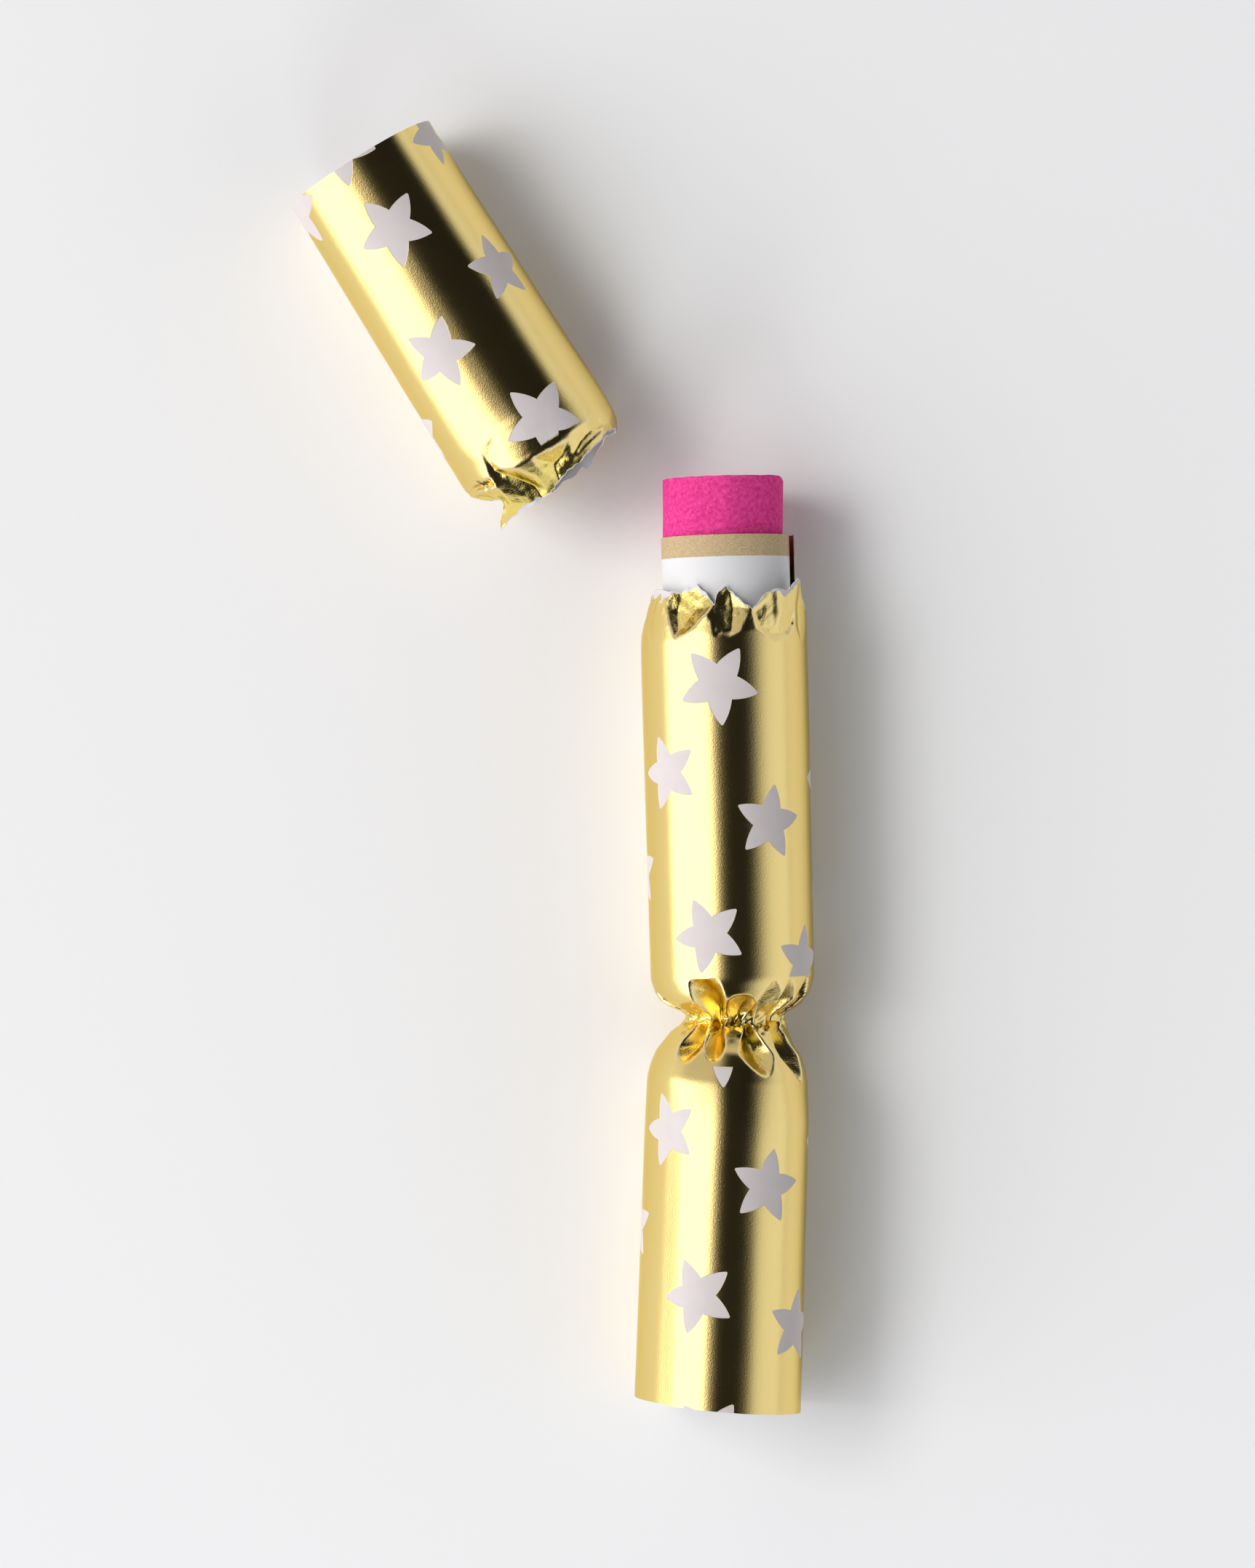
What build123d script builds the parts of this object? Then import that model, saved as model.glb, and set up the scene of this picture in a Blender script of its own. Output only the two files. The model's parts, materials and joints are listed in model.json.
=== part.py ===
from build123d import *
import math
import os

# A small christmas cracker that has been pulled open, lying on its side on z = 0.
# Lengths are millimetres, angles are degrees. +X is right, +Y is along the cracker, +Z is up.
# Every tube is modelled in its own frame: its axis runs along Y and starts at the neck.

# Foil paper wrapper: one rolled sheet
wrap_od = 24.6
wrap_wall = 0.25

# Lengths along the axis, counted from the narrowest place of the neck
barrel_neck_length = 5.7
barrel_length = 48.8
fringe_length = 10.4
end_neck_length = 7.1
end_length = 50.1
torn_end_length = 48.9
torn_neck_length = 9.6

# Crimp pleats: how far the ridges and valleys are drawn in, where the paper is tightest or torn
pleat_count = 12
pleat_turn = 85.0
pleat_wall = 0.32
neck_ridge_radius = 7.1
neck_valley_radius = 4.4
fringe_ridge_drop = 0.7
fringe_valley_drop = 1.3
torn_ridge_drop = 3.4
torn_valley_drop = 5.9
notch_width = 6.4
notch_depth = 3.4
notch_margin = 0.5

# Card liners: rolled, with a lap on the outside
liner_wall = 0.4
liner_gap = 0.1
liner_clearance = 0.15
liner_inset = 1.0
liner_ramp = 14.0
liner_lap = 36.0
liner_lap_end = 300.0

# Snap: two card strips that overlap inside a paper sleeve, on the floor of the barrel
strip_width = 4.5
strip_thickness = 0.35
strip_gap = 0.05
strip_overlap = 18.0
strip_protrusion = 7.0
strip_slope_inset = 6.0
grip_clearance = 0.3
grip_length = 2.0
sleeve_length = 20.0
sleeve_wall = 0.12
snap_clearance = 0.1

# Motto slip: a loose roll whose free edge stands up on the right
slip_thickness = 0.25
slip_gap = 0.15
slip_length = 48.0
slip_protrusion = 6.7
slip_ramp = 16.0
slip_lap = 62.0
slip_lap_end = 14.0
slip_clearance = 0.2
slip_headroom = 1.15

# Paper hat: a flattened tissue crown, rolled up
hat_layer = 0.5
hat_gap = 0.7
hat_turns = 6
hat_length = 48.0
hat_protrusion = 8.7
hat_room = 0.3
hat_clearance = 0.45

# How the pieces lie: turns about Z, and where the torn end's shoulder is, seen from the neck
barrel_turn = 1.45
end_turn = -1.9
end_shift = -0.6
torn_turn = 32.0
torn_shoulder_x = -29.2
torn_shoulder_y = 84.9

wrap_radius = wrap_od / 2
wrap_bore = wrap_radius - wrap_wall
liner_bore = wrap_bore - liner_clearance - 2 * liner_wall - liner_gap

# Stations along the barrel's axis, counted from the neck
barrel_mouth = barrel_neck_length + barrel_length
barrel_middle = barrel_neck_length + barrel_length / 2
fringe_tip = barrel_mouth + fringe_length
slip_top = fringe_tip + slip_protrusion
hat_top = slip_top + hat_protrusion

# Heights above the barrel's axis: the snap lies on the liner, the slip on the snap, the hat in the slip
strip_half_width = strip_width / 2
sleeve_half_width = strip_half_width + strip_gap + sleeve_wall
snap_floor = -math.sqrt((liner_bore - snap_clearance) ** 2 - sleeve_half_width ** 2)
gripped_low = snap_floor + sleeve_wall + strip_gap
loose_low = gripped_low + strip_thickness + strip_gap
snap_top = loose_low + strip_thickness + strip_gap + sleeve_wall
slip_low = snap_top + slip_clearance
slip_radius = (liner_bore - slip_headroom - slip_low) / 2
slip_bore = slip_radius - slip_thickness
slip_height = slip_low + slip_radius
hat_pitch = hat_layer + hat_gap
hat_radius = slip_bore - hat_room
hat_height = slip_height - slip_bore + hat_radius - hat_pitch / 2 + hat_clearance

# The gripped strip lies in the tightest place as low as the valleys of the pleats let it
grip_radius = neck_valley_radius - pleat_wall - grip_clearance
grip_low = -math.sqrt(grip_radius ** 2 - strip_half_width ** 2)


def across(station):
    """The plane square to a tube's axis at a station: its x is right and its y is up."""
    return Plane(origin=(0, station, 0), x_dir=(1, 0, 0), z_dir=(0, -1, 0))


def polar(radius, angle):
    turn = math.radians(angle)
    return Vector(radius * math.cos(turn), radius * math.sin(turn), 0)


def prism(wire, start, length):
    """Extrude a wire drawn in plane coordinates along the axis, from a station."""
    face = Face(across(start) * wire)
    return Solid.extrude(face, Vector(0, length, 0))


def tube(outer_radius, inner_radius, start, length):
    """A plain tube along the axis."""
    outer = prism(Wire.make_circle(outer_radius), start, length)
    inner = prism(Wire.make_circle(inner_radius), start, length)
    return outer - inner


def rolled_sheet(bore, wall, gap, lap_end, lap, ramp, start, length):
    """A sheet rolled once round, whose end climbs over its own beginning and lies on the outside.

    The lap ends at the angle lap_end, and the sheet begins under the lap, just past the ramp.
    """
    over = bore + wall + gap
    ramp_end = lap_end - lap
    ramp_start = ramp_end - ramp
    begin = ramp_end + 2 - 360

    def path(offset):
        low = bore + offset
        high = over + offset
        middle = (begin + ramp_start) / 2
        turn = Edge.make_three_point_arc(polar(low, begin), polar(low, middle), polar(low, ramp_start))
        halfway = polar((low + high) / 2, ramp_start + ramp / 2)
        climb = Edge.make_three_point_arc(polar(low, ramp_start), halfway, polar(high, ramp_end))
        rest = Edge.make_three_point_arc(
            polar(high, ramp_end), polar(high, ramp_end + lap / 2), polar(high, lap_end)
        )
        return [turn, climb, rest]

    inside = path(0)
    outside = path(wall)
    begin_edge = Edge.make_line(inside[0] @ 0, outside[0] @ 0)
    end_edge = Edge.make_line(inside[-1] @ 1, outside[-1] @ 1)
    return prism(Wire(inside + outside + [begin_edge, end_edge]), start, length)


def spiral_roll(radius, layer, pitch, turns, start, length):
    """A sheet rolled up from the middle, made of half circles that shrink by half a pitch."""

    def path(outer_radius):
        edges = []
        reach = outer_radius
        side = 1
        place = Vector(outer_radius, 0, 0)
        for half in range(2 * turns):
            centre = place - Vector(side * reach, 0, 0)
            far = centre - Vector(side * reach, 0, 0)
            crown = centre + Vector(0, side * reach, 0)
            edges.append(Edge.make_three_point_arc(place, crown, far))
            place = far
            side = -side
            reach = reach - pitch / 2
        return edges

    outside = path(radius)
    inside = path(radius - layer)
    first = Edge.make_line(outside[0] @ 0, inside[0] @ 0)
    last = Edge.make_line(outside[-1] @ 1, inside[-1] @ 1)
    return prism(Wire(outside + inside + [first, last]), start, length)


def pleat_ring(plane, ridge, valley):
    """Corner points of a pleated section: valleys and ridges in turn, evenly spread."""
    step = 180 / pleat_count
    points = []
    for index in range(2 * pleat_count):
        radius = valley if index % 2 == 0 else ridge
        points.append(plane.from_local_coords(polar(radius, pleat_turn + step * index)))
    return points


def facets_between(first, second):
    """Flat three-cornered facets that join two rings of points, creased from ridge to valley."""
    faces = []
    for index in range(len(first)):
        after = (index + 1) % len(first)
        if index % 2 == 0:
            corners = [(first[index], first[after], second[index]), (first[after], second[after], second[index])]
        else:
            corners = [(first[index], first[after], second[after]), (first[index], second[after], second[index])]
        for triangle in corners:
            faces.append(Face(Wire.make_polygon(triangle, close=True)))
    return faces


def pleat_profile(share, ridge, valley):
    """Ridge and valley radius part of the way from the shoulder (0) to the tightest place (1)."""
    ridge_here = ridge + (wrap_radius - ridge) * (1 - share ** 1.7)
    valley_here = valley + (wrap_radius - valley) * (1 - share) ** 1.2
    return ridge_here, valley_here


def gather(stations, ridge, valley):
    """A pleated paper wall through stations, each a plane and its share of the way to the tightest place."""
    outside = []
    inside = []
    for plane, share in stations:
        ridge_here, valley_here = pleat_profile(share, ridge, valley)
        wall = wrap_wall + (pleat_wall - wrap_wall) * share
        outside.append(pleat_ring(plane, ridge_here, valley_here))
        inside.append(pleat_ring(plane, ridge_here - wall, valley_here - wall))
    faces = []
    for index in range(len(stations) - 1):
        faces += facets_between(outside[index], outside[index + 1])
        faces += facets_between(inside[index], inside[index + 1])
    for index in (0, -1):
        rim = Wire.make_polygon(outside[index], close=True)
        hole = Wire.make_polygon(inside[index], close=True)
        faces.append(Face(rim, [hole]))
    return Solid(Shell(faces))


def tear(shell, tip, spared):
    """Cut ragged notches at the ridges of a torn edge; the spared pleat keeps its full length."""
    for index in range(pleat_count):
        angle = pleat_turn + 360 / pleat_count * (index + 0.5)
        depth = notch_depth * (1 + 0.35 * math.sin(2.4 * index + 0.7))
        half_width = notch_width / 2
        if index in (spared, spared - 1):
            half_width = half_width * 0.72
        points = [
            (-half_width, tip + notch_margin, 0),
            (half_width, tip + notch_margin, 0),
            (0.15 * half_width * math.sin(5 * index), tip - depth, 0),
        ]
        face = Face(Wire.make_polygon(points, close=True))
        notch = Solid.extrude(face, Vector(0, 0, wrap_od))
        shell = shell - notch.moved(Location((0, 0, 0), (0, 90 - angle, 0)))
    return shell


def block(wide, start, length, low, high):
    """A flat bar along the axis between two heights."""
    return Solid.make_box(wide, length, high - low).moved(Location((-wide / 2, start, low)))


# Where the tubes lie: the neck is the origin until everything is shifted to the final frame
barrel_place = Location((0, 0, wrap_radius), (0, 0, barrel_turn))
end_place = Location((0, 0, wrap_radius), (0, 0, end_turn)) * Location((end_shift, 0, 0))
torn_place = Location((torn_shoulder_x, torn_shoulder_y, wrap_radius), (0, 0, torn_turn))

# Barrel: the foil tube, and the fringe of pleats where the other neck tore
barrel_skin = tube(wrap_radius, wrap_bore, barrel_neck_length, barrel_length)
fringe = gather(
    [(across(barrel_mouth), 0), (across(barrel_mouth + 0.45 * fringe_length), 0.5), (across(fringe_tip), 1)],
    wrap_radius - fringe_ridge_drop,
    wrap_radius - fringe_valley_drop,
)
barrel_wrapper = barrel_skin + tear(fringe, fringe_tip, 5)

barrel_liner = rolled_sheet(
    liner_bore, liner_wall, liner_gap, liner_lap_end, liner_lap, liner_ramp,
    barrel_neck_length + liner_inset, barrel_length - 2 * liner_inset,
)

# Kept end: it runs the other way from the neck
end_wrapper = tube(wrap_radius, wrap_bore, -end_neck_length - end_length, end_length)
end_liner = rolled_sheet(
    liner_bore, liner_wall, liner_gap, liner_lap_end, liner_lap, liner_ramp,
    -end_neck_length - end_length + liner_inset, end_length - 2 * liner_inset,
)

# Neck: from the barrel's shoulder through the waist to the end's shoulder, which is turned and shifted
neck_stations = []
for share in (0, 0.42, 0.76):
    neck_stations.append((Plane(barrel_place * across(barrel_neck_length * (1 - share)).location), share))
waist_place = Location((end_shift / 2, 0, wrap_radius), (0, 0, (barrel_turn + end_turn) / 2))
neck_stations.append((Plane(waist_place * across(0).location), 1))
for share in (0.76, 0.42, 0):
    neck_stations.append((Plane(end_place * across(-end_neck_length * (1 - share)).location), share))
neck_gather = gather(neck_stations, neck_ridge_radius, neck_valley_radius)

# Torn end: its own frame starts at its shoulder; the torn half of the crimp points back along -Y
torn_tube = tube(wrap_radius, wrap_bore, 0, torn_end_length)
torn_crimp = gather(
    [(across(0), 0), (across(0.5 * torn_neck_length), 0.55), (across(torn_neck_length), 1)],
    wrap_radius - torn_ridge_drop,
    wrap_radius - torn_valley_drop,
)
torn_fringe = tear(torn_crimp, torn_neck_length, 3).mirror(Plane.XZ)
torn_end_wrapper = torn_tube + torn_fringe
torn_end_liner = rolled_sheet(
    liner_bore, liner_wall, liner_gap, liner_lap_end, liner_lap, liner_ramp,
    liner_inset, torn_end_length - 2 * liner_inset,
)

# Snap: the gripped strip dives from the waist to the floor of the barrel, the loose strip lies on it
gripped_end = barrel_middle + strip_overlap / 2
slope_end = barrel_neck_length + strip_slope_inset
gripped_points = [
    (-grip_length, grip_low),
    (grip_length, grip_low),
    (slope_end, gripped_low),
    (gripped_end, gripped_low),
    (gripped_end, gripped_low + strip_thickness),
    (slope_end, gripped_low + strip_thickness),
    (grip_length, grip_low + strip_thickness),
    (-grip_length, grip_low + strip_thickness),
]
gripped_wire = Wire.make_polygon([(-strip_half_width, y, z) for y, z in gripped_points], close=True)
snap_strip_gripped = Solid.extrude(Face(gripped_wire), Vector(strip_width, 0, 0))

loose_start = barrel_middle - strip_overlap / 2
loose_length = fringe_tip + strip_protrusion - loose_start
snap_strip_loose = block(strip_width, loose_start, loose_length, loose_low, loose_low + strip_thickness)

sleeve_start = barrel_middle - sleeve_length / 2
sleeve_room = block(
    2 * (sleeve_half_width - sleeve_wall), sleeve_start, sleeve_length,
    snap_floor + sleeve_wall, snap_top - sleeve_wall,
)
snap_sleeve = block(2 * sleeve_half_width, sleeve_start, sleeve_length, snap_floor, snap_top) - sleeve_room

# Contents: the slip lies on the snap, the hat lies in the slip
motto_slip = rolled_sheet(
    slip_bore, slip_thickness, slip_gap, slip_lap_end, slip_lap, slip_ramp,
    slip_top - slip_length, slip_length,
).moved(Location((0, 0, slip_height)))
paper_hat = spiral_roll(
    hat_radius, hat_layer, hat_pitch, hat_turns, hat_top - hat_length, hat_length
).moved(Location((0, 0, hat_height)))

laid = {
    "barrel_wrapper": barrel_wrapper.moved(barrel_place),
    "barrel_liner": barrel_liner.moved(barrel_place),
    "neck_gather": neck_gather,
    "end_wrapper": end_wrapper.moved(end_place),
    "end_liner": end_liner.moved(end_place),
    "torn_end_wrapper": torn_end_wrapper.moved(torn_place),
    "torn_end_liner": torn_end_liner.moved(torn_place),
    "snap_strip_gripped": snap_strip_gripped.moved(barrel_place),
    "snap_strip_loose": snap_strip_loose.moved(barrel_place),
    "snap_sleeve": snap_sleeve.moved(barrel_place),
    "motto_slip": motto_slip.moved(barrel_place),
    "paper_hat": paper_hat.moved(barrel_place),
}

# The final frame: the origin is under the middle of the whole, on the ground
whole = Compound(list(laid.values())).bounding_box()
to_frame = Location((-whole.center().X, -whole.center().Y, -whole.min.Z))

os.makedirs("parts", exist_ok=True)
for name, shape in laid.items():
    export_step(shape.moved(to_frame), f"parts/{name}.step")
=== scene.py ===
# %% [markdown]
# # A gold christmas cracker, pulled open
#
# The cracker is one sheet of foil paper, rolled round card tubes and crimped between them. It has been
# pulled: one end is torn off and lies beside the barrel, and a rolled slip and a rolled tissue hat look out
# of the tear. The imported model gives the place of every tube, so this lesson only dresses it: first the
# light and the camera, then the paper pieces one by one, each with its own finish.

# %% Load the frame
import json
import math
from collections import namedtuple

import bpy
import numpy as np
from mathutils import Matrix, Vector
from mathutils.geometry import delaunay_2d_cdt


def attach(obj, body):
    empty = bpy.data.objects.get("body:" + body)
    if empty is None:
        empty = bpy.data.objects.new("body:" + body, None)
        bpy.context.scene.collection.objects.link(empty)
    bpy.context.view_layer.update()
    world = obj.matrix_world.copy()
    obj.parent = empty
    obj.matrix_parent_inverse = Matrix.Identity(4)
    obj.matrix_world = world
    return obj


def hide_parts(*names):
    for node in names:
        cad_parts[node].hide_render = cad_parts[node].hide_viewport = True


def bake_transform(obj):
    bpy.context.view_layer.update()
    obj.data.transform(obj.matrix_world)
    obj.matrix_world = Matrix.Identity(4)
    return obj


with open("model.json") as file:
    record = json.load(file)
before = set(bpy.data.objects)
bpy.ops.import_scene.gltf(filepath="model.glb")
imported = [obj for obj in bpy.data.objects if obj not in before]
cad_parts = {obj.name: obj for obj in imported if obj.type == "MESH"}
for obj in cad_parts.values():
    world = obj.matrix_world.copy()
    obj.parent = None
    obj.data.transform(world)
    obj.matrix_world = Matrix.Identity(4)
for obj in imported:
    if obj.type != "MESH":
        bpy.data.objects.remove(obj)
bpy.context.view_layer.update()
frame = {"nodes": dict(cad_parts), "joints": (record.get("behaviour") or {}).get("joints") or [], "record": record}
bpy.ops.object.select_all(action="DESELECT")
print("nodes in the frame:", sorted(frame["nodes"]))

# %% [markdown]
# ## Where the tubes lie
#
# Each tube has its own ruler: a station counts millimetres along its axis, and an angle counts from its
# top, with plus to the right. The neck is where the barrel's ruler and the kept end's ruler start. Both
# come from the joint and the mounts in the frame, so the paper lies where the model's tubes lie.

# %% The three tubes
MM = 0.001
LINER_INSET = 1.0
UP = np.array([0.0, 0.0, 1.0])
Tube = namedtuple("Tube", "origin along right")


def joint_named(name):
    return next(j for j in frame["joints"] if j["name"] == name)


def mount_named(name):
    return next(m for m in frame["record"]["mounts"] if m["name"] == name)


def tube_from(origin, along):
    return Tube(origin, along, np.cross(along, UP))


neck_point = np.array(joint_named("neck_flex")["pos_m"]) / MM
axis_height = neck_point[2]
wrap_radius = axis_height

barrel = tube_from(neck_point, np.array(joint_named("slip_slide")["axis"]))

end_mouth = mount_named("end_mouth")
end_along = -np.array(end_mouth["axis"])
end_middle = np.array(end_mouth["pos_m"]) / MM
kept_end = tube_from(end_middle + end_along * np.dot(neck_point - end_middle, end_along), end_along)
end_middle_station = -np.dot(kept_end.origin - end_middle, end_along)
end_mouth_station = end_middle_station - end_mouth["dims"]["length_mm"] / 2 - LINER_INSET

torn_mouth = mount_named("torn_end_mouth")
torn_along = np.array(torn_mouth["axis"])
torn_half = torn_mouth["dims"]["length_mm"] / 2 + LINER_INSET
torn_end = tube_from(np.array(torn_mouth["pos_m"]) / MM - torn_along * torn_half, torn_along)
torn_mouth_station = 2 * torn_half
print("radius", wrap_radius)
print("kept end to", round(end_mouth_station, 2), "torn end to", round(torn_mouth_station, 2))

# %% [markdown]
# ## Camera, floor and light
#
# The picture is taken straight from above with a long lens, on a plain pale table. Foil is a mirror, so the
# light is really a studio to be mirrored: its bright left side gives the cream band, the dark gap overhead
# gives the black band down the middle, its weaker right side gives the second gold band, and the table
# itself gives the yellow edges. A soft key lamp at the left gives the shadows their direction, and a weaker
# fill lamp, at the lower edge of the picture, lightens them.

# %% Camera
SENSOR = 36.0
CAMERA_HEIGHT = 0.92
VIEW_MIDDLE = (0.0110, -0.0031)
VIEW_LONG_SIDE = 0.2323

camera_data = bpy.data.cameras.new("camera")
camera_data.sensor_width = SENSOR
camera_data.lens = SENSOR * (CAMERA_HEIGHT - axis_height * MM) / VIEW_LONG_SIDE
camera_data.dof.use_dof = False
camera = bpy.data.objects.new("camera", camera_data)
camera.location = (*VIEW_MIDDLE, CAMERA_HEIGHT)
bpy.context.collection.objects.link(camera)
bpy.context.scene.camera = camera
bpy.context.scene.view_settings.view_transform = "Standard"
print("lens", round(camera_data.lens, 1), "mm")

# %% [markdown]
# A small helper makes shader trees readable. `Finish` is one material, and its `add` method makes any node.
# `Shade` wraps one socket, so that sums are written as sums and each operator adds its Math node.

# %% Shader helpers


class Shade:
    """One output socket. Plus, minus and times add Math nodes."""

    def __init__(self, finish, socket):
        self.finish = finish
        self.socket = socket

    def math(self, operation, *values):
        return self.finish.add("ShaderNodeMath", {"operation": operation}, dict(enumerate(values)))

    def __add__(self, other):
        return self.math("ADD", self, other)

    def __radd__(self, other):
        return self.math("ADD", other, self)

    def __sub__(self, other):
        return self.math("SUBTRACT", self, other)

    def __rsub__(self, other):
        return self.math("SUBTRACT", other, self)

    def __mul__(self, other):
        return self.math("MULTIPLY", self, other)

    def __rmul__(self, other):
        return self.math("MULTIPLY", other, self)

    def clamped(self):
        return self.finish.add("ShaderNodeClamp", {}, {"Value": self})


class Finish:
    """A node tree of a material or of the world, built node by node."""

    def __init__(self, owner):
        owner.use_nodes = True
        self.owner = owner
        self.tree = owner.node_tree
        self.tree.nodes.clear()

    def add(self, kind, settings, sockets, output=0):
        """Make a node: settings are set first, then each socket gets a value or a link."""
        node = self.tree.nodes.new(kind)
        for name, value in settings.items():
            if name == "stops":
                self.set_stops(node.color_ramp, value)
            else:
                setattr(node, name, value)
        for name, value in sockets.items():
            if isinstance(value, Shade):
                self.tree.links.new(value.socket, node.inputs[name])
            else:
                node.inputs[name].default_value = value
        return Shade(self, node.outputs[output]) if node.outputs else node

    def set_stops(self, ramp, stops):
        while len(ramp.elements) < len(stops):
            ramp.elements.new(0.5)
        for element, (place, colour) in zip(ramp.elements, stops):
            element.position = place
            element.color = colour

    def mix_colour(self, factor, first, second):
        settings = {"data_type": "RGBA"}
        return self.add("ShaderNodeMix", settings, {0: factor, 6: first, 7: second}, output=2)

    def mix_value(self, factor, first, second):
        return self.add("ShaderNodeMix", {"data_type": "FLOAT"}, {0: factor, 2: first, 3: second})

    def noise(self, place, scale, detail=3.0, roughness=0.5):
        sockets = {"Vector": place, "Scale": scale, "Detail": detail, "Roughness": roughness}
        return self.add("ShaderNodeTexNoise", {}, sockets)

    def place(self, output):
        """Texture coordinates, by the number of the output."""
        return self.add("ShaderNodeTexCoord", {}, {}, output=output)

    def mark(self, name):
        """A number that the mesh stores for each point."""
        return self.add("ShaderNodeAttribute", {"attribute_name": name}, {}, output=2)

    def bump(self, height, distance, strength=1.0):
        return self.add("ShaderNodeBump", {}, {"Height": height, "Distance": distance, "Strength": strength})

    def surface(self, **sockets):
        """A Principled surface, straight to the output."""
        named = {name.replace("_", " ").title(): value for name, value in sockets.items()}
        named = {name.replace("Ior", "IOR"): value for name, value in named.items()}
        shader = self.add("ShaderNodeBsdfPrincipled", {}, named)
        self.add("ShaderNodeOutputMaterial", {}, {"Surface": shader})
        return self.owner


OUTLOOK = 0
UV = 2
OBJECT = 3


def material(name):
    return Finish(bpy.data.materials.new(name))


print("shader helpers ready")

# %% Floor
FLOOR_SIZE = 14.0
FLOOR_COLOUR = (0.885, 0.880, 0.840, 1)
TABLE_GRAIN = 900.0

bpy.ops.mesh.primitive_plane_add(size=FLOOR_SIZE)
floor = bpy.context.object
floor.name = "floor"
table_finish = material("pale_table")
table_grain = table_finish.noise(table_finish.place(OBJECT), TABLE_GRAIN)
table_bump = table_finish.bump(table_grain, 0.00002, 0.4)
floor.data.materials.append(
    table_finish.surface(base_color=FLOOR_COLOUR, roughness=0.8, specular_ior_level=0.1, normal=table_bump)
)
print("floor", FLOOR_SIZE, "m")

# %% Studio round the table
STUDIO_LEAN = 0.3
STUDIO_GLOW = 2.5
LEFT_STOPS = [(0.0, 0.02), (0.10, 0.04), (0.20, 0.10), (0.28, 0.40), (0.35, 1.3), (0.41, 2.1), (0.50, 2.45)]
LEFT_REACH = [(-0.90, 0.25), (-0.65, 1.0), (0.05, 1.0), (0.30, 0.25)]
RIGHT_STOPS = [
    (0.0, 0.02), (0.40, 0.012), (0.50, 0.04), (0.59, 0.14), (0.67, 0.36), (0.77, 0.66), (0.87, 0.86),
    (1.0, 0.92),
]
RIGHT_LEAN = 0.45
LEFT_TINT = (1.0, 0.98, 1.06)
RIGHT_TINT = (0.95, 0.98, 1.08)
TINT_EDGE = 3.0
RING_STOPS = [(0.0, 0.85), (0.25, 0.78), (0.38, 0.44), (0.50, 0.12), (0.60, 0.012)]
GAP_TOP = 0.035
GAP_EDGE = 100.0
GAP_SHADE = 0.4


def ramp(finish, value, stops):
    """A grey ramp through rows of place and level, as one number."""
    grey = [(place, (level, level, level, 1)) for place, level in stops]
    return finish.add("ShaderNodeValToRGB", {"stops": grey}, {"Fac": value})


def studio_level(value, stops):
    return ramp(studio, value, [(place, level / STUDIO_GLOW) for place, level in stops])


world = bpy.data.worlds.new("studio")
bpy.context.scene.world = world
studio = Finish(world)
outlook = studio.place(OUTLOOK)
east, north, high = (
    studio.add("ShaderNodeSeparateXYZ", {}, {"Vector": outlook}, output=axis) for axis in range(3)
)
slant = east - north * STUDIO_LEAN
reach = ramp(studio, north * 0.5 + 0.5, [(0.5 + place / 2, level) for place, level in LEFT_REACH])
left = studio_level(slant * -1, LEFT_STOPS) * reach
ring = studio_level(high, RING_STOPS)
gap = ((GAP_TOP - high) * GAP_EDGE).clamped()
right = studio_level(east - north * RIGHT_LEAN, RIGHT_STOPS) * (1 - gap * GAP_SHADE)
tint = studio.mix_colour((slant * TINT_EDGE).clamped(), (*LEFT_TINT, 1), (*RIGHT_TINT, 1))
level = left.math("MAXIMUM", left.math("MAXIMUM", left, right), ring)
glow = studio.add("ShaderNodeBackground", {}, {"Color": tint, "Strength": level * STUDIO_GLOW})
studio.add("ShaderNodeOutputWorld", {}, {"Surface": glow})
print("studio: left glow up to", LEFT_STOPS[-1][1], "right glow up to", RIGHT_STOPS[-1][1])

# %% Key and fill lamps
KEY_PLACE = (-1.01, 0.26, 1.25)
KEY_SIDES = (0.8, 0.5)
KEY_GLOW = 7.5
FILL_PLACE = (-0.12, -0.80, 0.56)
FILL_SIDES = (0.4, 0.34)
FILL_GLOW = 4.6
FILL_TINT = (0.84, 0.92, 1.0)


def soft_lamp(name, place, sides, radiance, tint=(1, 1, 1)):
    """A rectangular lamp that looks at the origin; the foil doesn't mirror it."""
    lamp_data = bpy.data.lights.new(name, "AREA")
    lamp_data.shape = "RECTANGLE"
    lamp_data.size, lamp_data.size_y = sides
    lamp_data.energy = radiance * math.pi * sides[0] * sides[1]
    lamp_data.color = tint
    lamp = bpy.data.objects.new(name, lamp_data)
    lamp.location = place
    lamp.rotation_euler = Vector(place).to_track_quat("Z", "Y").to_euler()
    lamp.visible_glossy = False
    bpy.context.collection.objects.link(lamp)
    print(name, round(lamp_data.energy, 1), "W")


soft_lamp("key_lamp", KEY_PLACE, KEY_SIDES, KEY_GLOW)
soft_lamp("fill_lamp", FILL_PLACE, FILL_SIDES, FILL_GLOW, FILL_TINT)

# %% [markdown]
# ## Rolling a sheet of paper
#
# Every paper piece starts as a flat grid, as paper does. Its columns run round the tube and its rows along
# it. A grid can't be pleated by operators alone, so its points are rolled in code: each one gets an angle, a
# radius and a station, and the radius is where all the shaping happens. Solidify then gives the paper its
# thickness.

# %% Sheet helpers
CRUMPLE_WAVES = 7
CRUMPLE_PLAY = (0.7, 1.7)
CRUMPLE_PEAK = 1.5


def flat_sheet(name, columns, rows):
    """A new grid. Returns it with each point's share across (0 to 1) and along (0 to 1)."""
    bpy.ops.object.select_all(action="DESELECT")
    bpy.ops.mesh.primitive_grid_add(x_subdivisions=columns, y_subdivisions=rows, size=1)
    piece = bpy.context.object
    piece.name = name
    piece.data.name = name
    points = np.empty(len(piece.data.vertices) * 3)
    piece.data.vertices.foreach_get("co", points)
    points = points.reshape(-1, 3) + 0.5
    return piece, points[:, 0], points[:, 1]


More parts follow.
